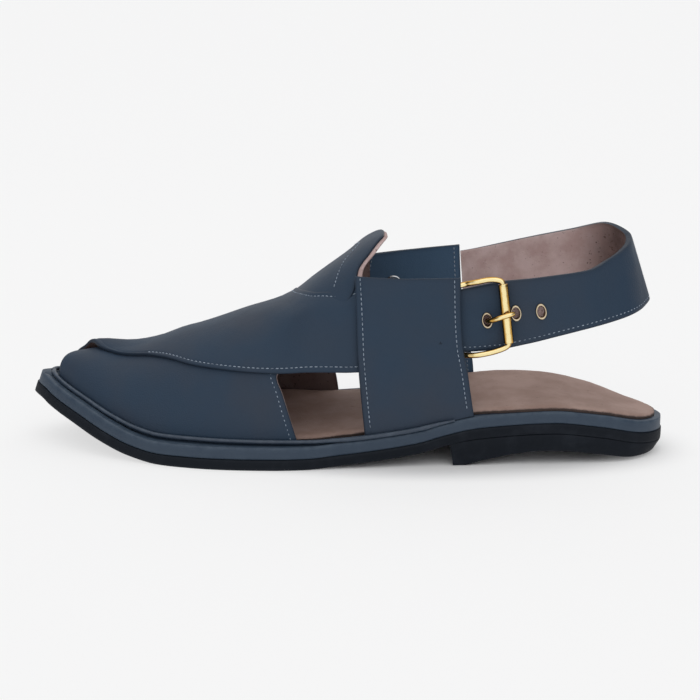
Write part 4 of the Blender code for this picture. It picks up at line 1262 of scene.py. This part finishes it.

# The wings' inner faces are the same navy leather, painted lighter to stand in for light inside the
# shoe.
navy_inside_painted_light = calf("navy_inside_painted_light_finish", NAVY_INSIDE_PAINTED_LIGHT, NAVY_INSIDE_PAINTED_LIGHT)
for side, name, rows, lift in (
    (-1, "wing_outer", OUTER_WING, OUTER_WING_LIFT), (1, "wing_inner", INNER_WING, INNER_WING_LIFT)
):
    def wing_lifts(along, across, lift=lift):
        return lift, lift + WING_THICKNESS

    spot = wing_spot(side, lift)
    wing = sheet(
        name + "_leather", rows, spot, wing_lifts, [navy_leather, navy_inside_painted_light], wing_stations
    )
    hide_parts(name)
    sew(name + "_stitches", [
        seam_line(rows, spot, wing_lifts, *WING_SEAM, STITCH_INSET, from_rear, face)
        for from_rear in (False, True) for face in (1.0, -1.0)
    ])

NICK_RAISED = 0.22 * MM
NICK_ROOT = 0.05 * MM
NICK_SHARE = 0.6448
NICK_TURN = -0.739
NICK_OUTLINE = [
    (-1.3, -0.35), (-0.6, -0.15), (-0.25, 0.75), (0.05, 0.95), (0.35, 0.25), (1.0, -0.25),
    (0.5, -0.65), (-0.4, -0.50),
]
nick_finish = calf("nick_finish", NAVY_EDGE, NAVY_EDGE)
nick_x = LENGTH * (NICK_SHARE - 0.5)
nick_high = OUTER_WING_LIFT + WING_THICKNESS
nick_middle = skin_point(nick_x, NICK_TURN, nick_high)
nick_out = skin_normal(nick_x, NICK_TURN)
nick_along = Vector((0.0, 0.0, -1.0)).cross(nick_out).normalized()
nick_up = nick_out.cross(nick_along)
if nick_up.z < 0.0:
    nick_up, nick_along = -nick_up, -nick_along
nick_soup = bmesh.new()
crown = nick_soup.verts.new(nick_middle + nick_out * NICK_RAISED)
nick_rim = [
    nick_soup.verts.new(nick_middle + (nick_along * u + nick_up * v) * MM - nick_out * NICK_ROOT)
    for u, v in NICK_OUTLINE
]
for first, second in zip(nick_rim, nick_rim[1:] + nick_rim[:1]):
    nick_soup.faces.new((crown, first, second))
nick_soup.faces.new(nick_rim[::-1])
nick = piece_from("wing_nick", nick_soup, [nick_finish], None, NICK_SHARP)

# ---- Heel strap: a band of navy leather with a pinkish lining, sewn along its lower edge and
# round the heel from the inner wing to the buckle. The lining wrinkles where the strap bends.
STRAP_THICKNESS = 3.0 * MM
STRAP_END_THICKNESS = 1.8 * MM
SKIVE_START = 14.0
STRAP_TOP_HEIGHT = 98.5 * MM
STRAP_STEPS = 11
STRAP_LANES = 14
STRAP_SEAM = 2.1 * MM
WRINKLE = 0.30 * MM
STRAP_BEND_SHADE = (0.098, 0.124)
STRAP_WEAR = 0.7 * MM
BEND_IN = (5.5, 8.0)
BEND_OUT = (10.5, 13.0)
STEP_ROW = 0.05
TURN_SHARE = 0.9
INNER_TURN_SHARE = 0.6
# The lining's folds: height, waves a row, lean with the rise, start.
FOLDS = ((1.0, 11.0, 2.2, 0.0), (0.6, 19.0, -3.0, 1.0))
STRAP_SEAM_POINTS = 240
STRAP_SEAM_END = 0.3
WING_REAR_SHARE = 0.690
# Top edge (share of the length, share of the half width, share of the top height), bottom edge.
HEEL_STRAP = [
    (0.667, -1.0, 0.761, 0.667, -1.0, 0.500), (0.686, -1.0, 0.775, 0.686, -1.0, 0.500),
    (0.732, -1.0, 0.804, 0.732, -1.0, 0.512), (0.777, -0.99, 0.818, 0.777, -1.0, 0.54),
    (0.818, -0.96, 0.833, 0.822, -0.97, 0.573), (0.868, -0.83, 0.853, 0.865, -0.91, 0.603),
    (0.896, -0.63, 0.886, 0.904, -0.77, 0.626), (0.92, -0.45, 0.92, 0.934, -0.62, 0.646),
    (0.936, -0.22, 0.948, 0.96, -0.33, 0.664), (0.941, 0.06, 0.97, 0.974, -0.03, 0.684),
    (0.933, 0.36, 0.99, 0.966, 0.3, 0.688), (0.912, 0.63, 1.004, 0.938, 0.62, 0.686),
    (0.865, 0.86, 0.964, 0.876, 0.9, 0.67), (0.806, 0.94, 0.922, 0.809, 0.97, 0.64),
    (0.749, 0.99, 0.88, 0.749, 1.0, 0.609), (0.703, 1.0, 0.848, 0.706, 1.0, 0.588),
    (0.6848, 1.0, 0.838, 0.6928, 1.0, 0.58),
]
strap_rows = [(i, *values) for i, values in enumerate(HEEL_STRAP)]
last_row = len(HEEL_STRAP) - 1


@lru_cache(maxsize=None)
def strap_reach(height, side):
    """Outer face of the heel strap inside the outer wing and in line with the inner wing."""
    if side < 0:
        lift = OUTER_WING_LIFT - GAP
    else:
        lift = INNER_WING_LIFT + (WING_THICKNESS + STRAP_END_THICKNESS) / 2
    x = LENGTH * (WING_REAR_SHARE - 0.5)
    return abs(skin_point(x, around_at_height(x, height, side, lift), lift).y - shift_y)


def strap_edges(row):
    """Top and bottom points of the strap's outer face at a row position."""
    spots = []
    for first in (1, 4):
        share = table_value(strap_rows, first, row)
        turn = table_value(strap_rows, first + 1, row)
        height = STRAP_TOP_HEIGHT * table_value(strap_rows, first + 2, row)
        reach = strap_reach(height, -1 if turn < 0 else 1)
        spots.append(Vector((LENGTH * (share - 0.5), turn * reach + shift_y, height)))
    return spots


def strap_frame(row, height_share):
    """Point on the outer face, and the directions along, up and outward there."""
    top, bottom = strap_edges(row)
    before = strap_edges(max(row - STEP_ROW, 0.0))
    after = strap_edges(min(row + STEP_ROW, last_row))
    along = (after[0] + after[1] - before[0] - before[1]).normalized()
    up = (top - bottom).normalized()
    outward = along.cross(up).normalized()
    return bottom + (top - bottom) * height_share, along, outward.cross(along), outward


def wrinkle(row, rise):
    """Small folds of the lining where the strap turns round the heel."""
    bend = ease(row, *BEND_IN) * (1.0 - ease(row, *BEND_OUT))
    folds = sum(high * math.sin(pace * row + lean * rise + at) for high, pace, lean, at in FOLDS)
    return WRINKLE * bend * folds * math.sin(math.pi * rise)


strap_soup = bmesh.new()
strap_marks = {}
strap_rings = []
for i in range(last_row * STRAP_STEPS + 1):
    row = i / STRAP_STEPS
    top, bottom = strap_edges(row)
    outward = strap_frame(row, 0.5)[3]
    height = (top - bottom).length
    skived = (STRAP_THICKNESS - STRAP_END_THICKNESS) * ease(row, SKIVE_START, last_row)
    thick = STRAP_THICKNESS - skived
    ring = []
    for face in (1, -1):
        for k in range(STRAP_LANES + 1):
            rise = (1.0 - math.cos(math.pi * k / STRAP_LANES)) / 2
            if face < 0:
                rise = 1.0 - rise
            rim = min(rise, 1.0 - rise) * height
            turned_in = TURN_SHARE * edge_drop(rim)
            if face > 0:
                sunk = turned_in + trough(rise * height + STITCH_INSET - STRAP_SEAM)
            else:
                sunk = thick - INNER_TURN_SHARE * turned_in + wrinkle(row, rise)
            vertex = strap_soup.verts.new(bottom + (top - bottom) * rise - outward * sunk)
            strap_marks[vertex] = math.exp(-rim / STRAP_WEAR)
            ring.append(vertex)
    strap_rings.append(ring)
bridge(strap_soup, strap_rings, True, range(STRAP_LANES + 1, 2 * STRAP_LANES + 1))
# Painted shade darkens the strap's lining where it bends round the heel.
heel_strap = piece_from(
    "heel_strap_leather", strap_soup,
    [navy_leather, pigskin("strap_lining", 0.0, STRAP_BEND_SHADE)], strap_marks, LEATHER_SHARP,
)
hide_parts("heel_strap")

strap_seam = []
for i in range(STRAP_SEAM_POINTS + 1):
    row = STRAP_SEAM_END + (last_row - 2.0 * STRAP_SEAM_END) * i / STRAP_SEAM_POINTS
    top, bottom = strap_edges(row)
    outward = strap_frame(row, 0.5)[3]
    up = (top - bottom).normalized()
    strap_seam.append((bottom + up * STRAP_SEAM - outward * TROUGH_DEPTH, outward))
sew("heel_strap_stitches", [strap_seam])

# ---- Eyelets: three oval brass rings pressed into the strap's outer leather, their rims pale along
# the crown and brown at its edges, with the lining showing inside them. A steel ring is set in the
# inner wing.
EYELET_RADIUS = 1.6 * MM
EYELET_WALL = 0.3 * MM
EYELET_FLANGE = 0.4 * MM
EYELET_OVAL = 1.5
EYELET_CAP = 0.5 * MM
EYELET_TURNS = 40
LINING_LEFT = 0.7 * MM
LINING_INDEX = 1
CROWN_STEPS = 6
CROWN_POWER = 0.8
RIM_SUNK = 0.25 * MM
RIM_INSET = 0.1 * MM
RING_WALL = 0.4 * MM
PUNCH_CLEAR = 0.1 * MM
RING_SHARP = 50.0
EYELETS = [("eyelet_1", 1.66, 0.46), ("eyelet_2", 2.54, 0.51), ("eyelet_3", 3.38, 0.47)]
WING_EYELET_RADIUS = 4.0 * MM
WING_EYELET_SHARE = 0.576
WING_EYELET_TURN = 0.625
# On the buckle BRASS_PALE is a painted highlight and BRASS_BROWN a painted dark reflection;
# BRASS_BROWN also browns the eyelets' rim edges and barrels.
BRASS_GOLD = (0.600, 0.335, 0.070)
BRASS_PALE = (1.0, 0.85, 0.46)
BRASS_BROWN = (0.160, 0.070, 0.016)
RIM_BRASS = (0.480, 0.370, 0.230)
RIM_PALE = (0.720, 0.610, 0.440)
STEEL_BRIGHT = (0.66, 0.67, 0.68)
STEEL_DULL = (0.30, 0.30, 0.31)


def metal(name, bright, base, dull, roughness):
    """Polished metal coloured by its edge mark: brown where the mark is low, pale where it is high.
    On the buckle the mark is a painted reflection, a pale highlight to the front and top and brown
    at the back and below; on the eyelets and the ring it follows the crown of the rim.
    """
    finish = Finish(name)
    scratch = finish.place.stretched((1.0, 1.0, 0.2)).cloud(0.35 * MM, 3.0, 0.7)
    tarnish = finish.place.cloud(2.6 * MM, 4.0, 0.65)
    # Painted shine from the edge mark, with tarnish in patches.
    painted_shine_and_tarnish = finish.edge + (tarnish - 0.5) * 0.30
    body = painted_shine_and_tarnish.between(0.30, 0.78).blend(dull, base)
    finish.set(
        Base_Color=painted_shine_and_tarnish.between(0.80, 0.97).blend(body, bright),
        Metallic=1.0,
        Roughness=roughness + 0.10 * tarnish,
    )
    finish.bump(scratch * 0.5 + tarnish * 0.5, 0.012 * MM)
    return finish


brass = metal("polished_brass", BRASS_PALE, BRASS_GOLD, BRASS_BROWN, 0.08)
eyelet_brass = metal("eyelet_brass", RIM_PALE, RIM_BRASS, BRASS_BROWN, 0.24)
steel = metal("steel_ring", STEEL_BRIGHT, STEEL_BRIGHT, STEEL_DULL, 0.14)


def facing(point, along, up, outward):
    """Transform that puts X along, Y up and Z outward at a point."""
    return Matrix((
        (along.x, up.x, outward.x, point.x),
        (along.y, up.y, outward.y, point.y),
        (along.z, up.z, outward.z, point.z),
        (0.0, 0.0, 0.0, 1.0),
    ))


def turned(name, profile, place, finish, sharp):
    """Closed profile of (radius, height, edge mark) points turned round Z, moved to a place."""
    soup = bmesh.new()
    marks = {}
    rings = []
    for i in range(EYELET_TURNS):
        angle = 2.0 * math.pi * i / EYELET_TURNS
        ring = []
        for radius, height, mark in profile:
            spot = Vector((radius * math.cos(angle), radius * math.sin(angle), height))
            vertex = soup.verts.new(place @ spot)
            marks[vertex] = mark
            ring.append(vertex)
        rings.append(ring)
    bridge(soup, rings + rings[:1], False)
    return piece_from(name, soup, [finish], marks, sharp)


def ring_profile(hole, wall, rim, cap, depth):
    """Rounded rim outside, straight barrel through the leather."""
    half = (rim - hole) / 2
    profile = [(hole, GAP, 0.0)]
    for k in range(1, CROWN_STEPS):
        angle = math.pi * k / CROWN_STEPS
        high = GAP + cap * math.sin(angle) ** CROWN_POWER
        profile.append((hole + half - half * math.cos(angle), high, math.sin(angle)))
    return profile + [
        (rim, GAP, 0.2), (rim - RIM_INSET, GAP - RIM_SUNK, 0.0),
        (hole + wall, GAP - RIM_SUNK, 0.0), (hole + wall, -depth, 0.0), (hole, -depth, 0.0),
    ]


oval = Matrix.Diagonal((1.0, EYELET_OVAL, 1.0, 1.0))
barrel = EYELET_RADIUS + EYELET_WALL
for name, row, height_share in EYELETS:
    frame_at = facing(*strap_frame(row, height_share)) @ oval
    depth = STRAP_THICKNESS - 2.0 * LINING_LEFT
    rim = ring_profile(EYELET_RADIUS, EYELET_WALL, barrel + EYELET_FLANGE, EYELET_CAP, depth)
    ring = turned(name + "_ring", rim, frame_at, eyelet_brass, RING_SHARP)
    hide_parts(name)
    reach = STRAP_THICKNESS - LINING_LEFT
    punch_soup = bmesh.new()
    bmesh.ops.create_cone(
        punch_soup, cap_ends=True, segments=EYELET_TURNS, radius1=barrel + PUNCH_CLEAR,
        radius2=barrel + PUNCH_CLEAR, depth=2.0 * reach, matrix=frame_at,
    )
    punch_data = bpy.data.meshes.new(name + "_punch")
    punch_soup.to_mesh(punch_data)
    punch_data.polygons.foreach_set("material_index", [LINING_INDEX] * len(punch_data.polygons))
    for finish in heel_strap.data.materials:
        punch_data.materials.append(finish)
    punch_soup.free()
    punch = bpy.data.objects.new(name + "_punch", punch_data)
    scene.collection.objects.link(punch)
    hole = heel_strap.modifiers.new("hole", "BOOLEAN")
    hole.operation = "DIFFERENCE"
    hole.solver = "EXACT"
    hole.object = punch
    bpy.context.view_layer.update()
    punched = bpy.data.meshes.new_from_object(
        heel_strap.evaluated_get(bpy.context.evaluated_depsgraph_get())
    )
    heel_strap.modifiers.clear()
    heel_strap.data = punched
    bpy.data.objects.remove(punch)

washer_x = LENGTH * (WING_EYELET_SHARE - 0.5)
washer_spot = skin_point(washer_x, WING_EYELET_TURN, INNER_WING_LIFT)
washer_in = -skin_normal(washer_x, WING_EYELET_TURN)
washer_along = Vector((0.0, 0.0, 1.0)).cross(washer_in).normalized()
washer = turned(
    "wing_ring",
    ring_profile(WING_EYELET_RADIUS / 2, RING_WALL, WING_EYELET_RADIUS, EYELET_CAP, -RIM_INSET),
    facing(washer_spot, washer_along, washer_in.cross(washer_along), washer_in),
    steel, RING_SHARP,
)
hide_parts("wing_eyelet")

# ---- Buckle: a bent brass wire frame whose far bar is held inside the outer wing, a loose brass
# roller on its near bar, and a prong that comes through the first eyelet and rests on the roller.
FRAME_WIRE = 1.2 * MM
ROLLER_RADIUS = 2.05 * MM
ROLLER_BEVEL = 0.12 * MM
PRONG_RADIUS = 1.1 * MM
WIRE_SIDES = 16
WIRE_STEPS = 6
TOP_HIGHLIGHT = 0.25
WIRE_SHARP = 60.0
BAR_POINTS = (0.05, 0.5, 0.95)
TIP_RINGS = 3
TIP_REACH = 3.3
# Share of the length, share of the strap's top height, how far out from under the wing.
BUCKLE_FRAME = [
    (0.7355, 0.8, 1.0), (0.732, 0.8125, 0.97), (0.722, 0.817, 0.88), (0.712, 0.8145, 0.82),
    (0.7, 0.8065, 0.72), (0.69, 0.799, 0.4), (0.681, 0.791, 0.0), (0.668, 0.78, 0.0),
    (0.659, 0.764, 0.0), (0.654, 0.741, 0.0), (0.654, 0.53, 0.0), (0.659, 0.499, 0.0),
    (0.668, 0.4855, 0.0), (0.682, 0.4845, 0.0), (0.692, 0.4865, 0.4), (0.703, 0.4915, 0.74),
    (0.721, 0.5035, 0.84), (0.735, 0.518, 0.93), (0.744, 0.532, 0.98), (0.747, 0.548, 1.0),
]
# Steps along the strap, up and outward from the first eyelet, in roller radii, and thickness.
PRONG = [
    (0.0, 0.0, -0.25, 0.85), (0.0, 0.0, 0.55, 0.92), (0.28, 0.06, 1.35, 0.97),
    (1.05, 0.3, 2.25, 1.0), (2.3, 0.66, 2.95, 1.05), (3.75, 0.96, 3.17, 1.05),
    (4.6, 1.06, 3.05, 1.0), (5.2, 1.08, 2.75, 0.84),
]


def smooth_line(points, closed, steps):
    """Points of a rounded curve through points, and of their radii when they carry one."""
    count = len(points)
    line = []
    for i in range(count if closed else count - 1):
        picks = [i - 1, i, i + 1, i + 2]
        if closed:
            a, b, c, d = (points[k % count] for k in picks)
        else:
            a, b, c, d = (points[min(max(k, 0), count - 1)] for k in picks)
        for step in range(steps):
            t = step / steps
            line.append(
                0.5 * ((2.0 * b) + (c - a) * t + (2.0 * a - 5.0 * b + 4.0 * c - d) * t ** 2
                       + (3.0 * b - a - 3.0 * c + d) * t ** 3)
            )
    if not closed:
        line.append(points[-1].copy())
    return line


def wire(name, points, radii, closed, finish):
    """Round wire through points, its frame carried along so that it doesn't twist."""
    soup = bmesh.new()
    marks = {}
    rings = []
    count = len(points)
    side = Vector((0.0, 0.0, 1.0))
    for i, point in enumerate(points):
        after = points[(i + 1) % count] if closed else points[min(i + 1, count - 1)]
        before = points[i - 1] if closed or i else points[0]
        run = (after - before).normalized()
        if i == 0 and abs(run.z) > 0.9:
            side = Vector((1.0, 0.0, 0.0))
        side = (side - run * side.dot(run)).normalized()
        ring, spokes = spoked(soup, point, radii[i], side, run.cross(side), WIRE_SIDES)
        for vertex, spoke in zip(ring, spokes):
            # The mark paints the wire's reflections: a pale highlight where it faces the front (-Y)
            # and, less, the top; a brown painted dark reflection where it faces back and down.
            marks[vertex] = max(0.0, -spoke.y) + TOP_HIGHLIGHT * max(0.0, spoke.z)
        rings.append(ring)
    if closed:
        first, last = rings[0], rings[-1]
        nearest = min(range(WIRE_SIDES), key=lambda k: (first[k].co - last[0].co).length)
        rings.append(first[nearest:] + first[:nearest])
    bridge(soup, rings, not closed)
    return piece_from(name, soup, [finish], marks, WIRE_SHARP)


def buckle_point(share, height_share, out):
    """Middle of the buckle wire: under the wing at 0, over the strap at 1."""
    height = STRAP_TOP_HEIGHT * height_share
    x = LENGTH * (share - 0.5)
    inner_x = min(x, LENGTH * (WING_REAR_SHARE - 0.5))
    lift = OUTER_WING_LIFT - GAP
    around = around_at_height(inner_x, height, -1, lift)
    face = abs(skin_point(inner_x, around, lift).y - shift_y)
    reach = face - FRAME_WIRE + out * (FRAME_WIRE + GAP + ROLLER_RADIUS)
    return Vector((x, shift_y - reach, height))


frame_points = [buckle_point(*row) for row in BUCKLE_FRAME]
bar_top, bar_bottom = frame_points[0], frame_points[-1]
bar = [bar_bottom.lerp(bar_top, part) for part in BAR_POINTS]
frame_line = smooth_line(frame_points + bar, True, WIRE_STEPS)
buckle_frame = wire(
    "buckle_wire", frame_line, [FRAME_WIRE] * len(frame_line), True, brass
)
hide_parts("buckle_frame")

roller_axis = (bar_top - bar_bottom).normalized()
roller_half = (bar_top - bar_bottom).length / 2
roller_middle = (bar_top + bar_bottom) / 2
roller_bore = FRAME_WIRE + GAP
roller_side = roller_axis.cross(Vector((0.0, -1.0, 0.0))).normalized()
roller_end = [
    (roller_bore + ROLLER_BEVEL, roller_half), (ROLLER_RADIUS - 0.22 * MM, roller_half),
    (ROLLER_RADIUS - 0.06 * MM, roller_half - 0.08 * MM),
    (ROLLER_RADIUS, roller_half - 0.25 * MM), (ROLLER_RADIUS, roller_half - 1.2 * MM),
]
roller_line = roller_end + [(radius, -high) for radius, high in reversed(roller_end)]
roller_line.append((roller_bore, ROLLER_BEVEL - roller_half))
roller_line.append((roller_bore, roller_half - ROLLER_BEVEL))
roller = turned(
    "buckle_roller_tube", [(radius, high, 0.0) for radius, high in roller_line],
    facing(roller_middle, roller_side, roller_axis.cross(roller_side).normalized(), roller_axis),
    brass, WIRE_SHARP,
)
# The roller's front, facing -Y towards the camera, is marked for the painted highlight; its back
# takes the painted dark reflection.
front_highlight_marks = []
for vertex in roller.data.vertices:
    outward = (vertex.co - roller_middle).cross(roller_axis).cross(-roller_axis).normalized()
    front_highlight_marks.append(max(0.0, -outward.y))
roller.data.attributes["edge"].data.foreach_set("value", front_highlight_marks)
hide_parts("buckle_roller")

prong_base, prong_along, prong_up, prong_out = strap_frame(EYELETS[0][1], EYELETS[0][2])
prong_points = []
prong_shares = []
for along_step, up_step, out_step, share in PRONG:
    offset = prong_along * along_step + prong_up * up_step + prong_out * out_step
    prong_points.append(prong_base + offset * ROLLER_RADIUS)
    prong_shares.append(Vector((share, 0.0, 0.0)))
prong_line = smooth_line(prong_points, False, WIRE_STEPS)
prong_radii = [PRONG_RADIUS * share.x for share in smooth_line(prong_shares, False, WIRE_STEPS)]
tip = (prong_line[-1] - prong_line[-2]).normalized()
for k in range(1, TIP_RINGS + 1):
    angle = math.pi / 2 * k / TIP_REACH
    prong_line.append(prong_points[-1] + tip * PRONG_RADIUS * PRONG[-1][3] * math.sin(angle))
    prong_radii.append(PRONG_RADIUS * PRONG[-1][3] * math.cos(angle))
prong = wire("buckle_prong_wire", prong_line, prong_radii, False, brass)
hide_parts("buckle_prong")
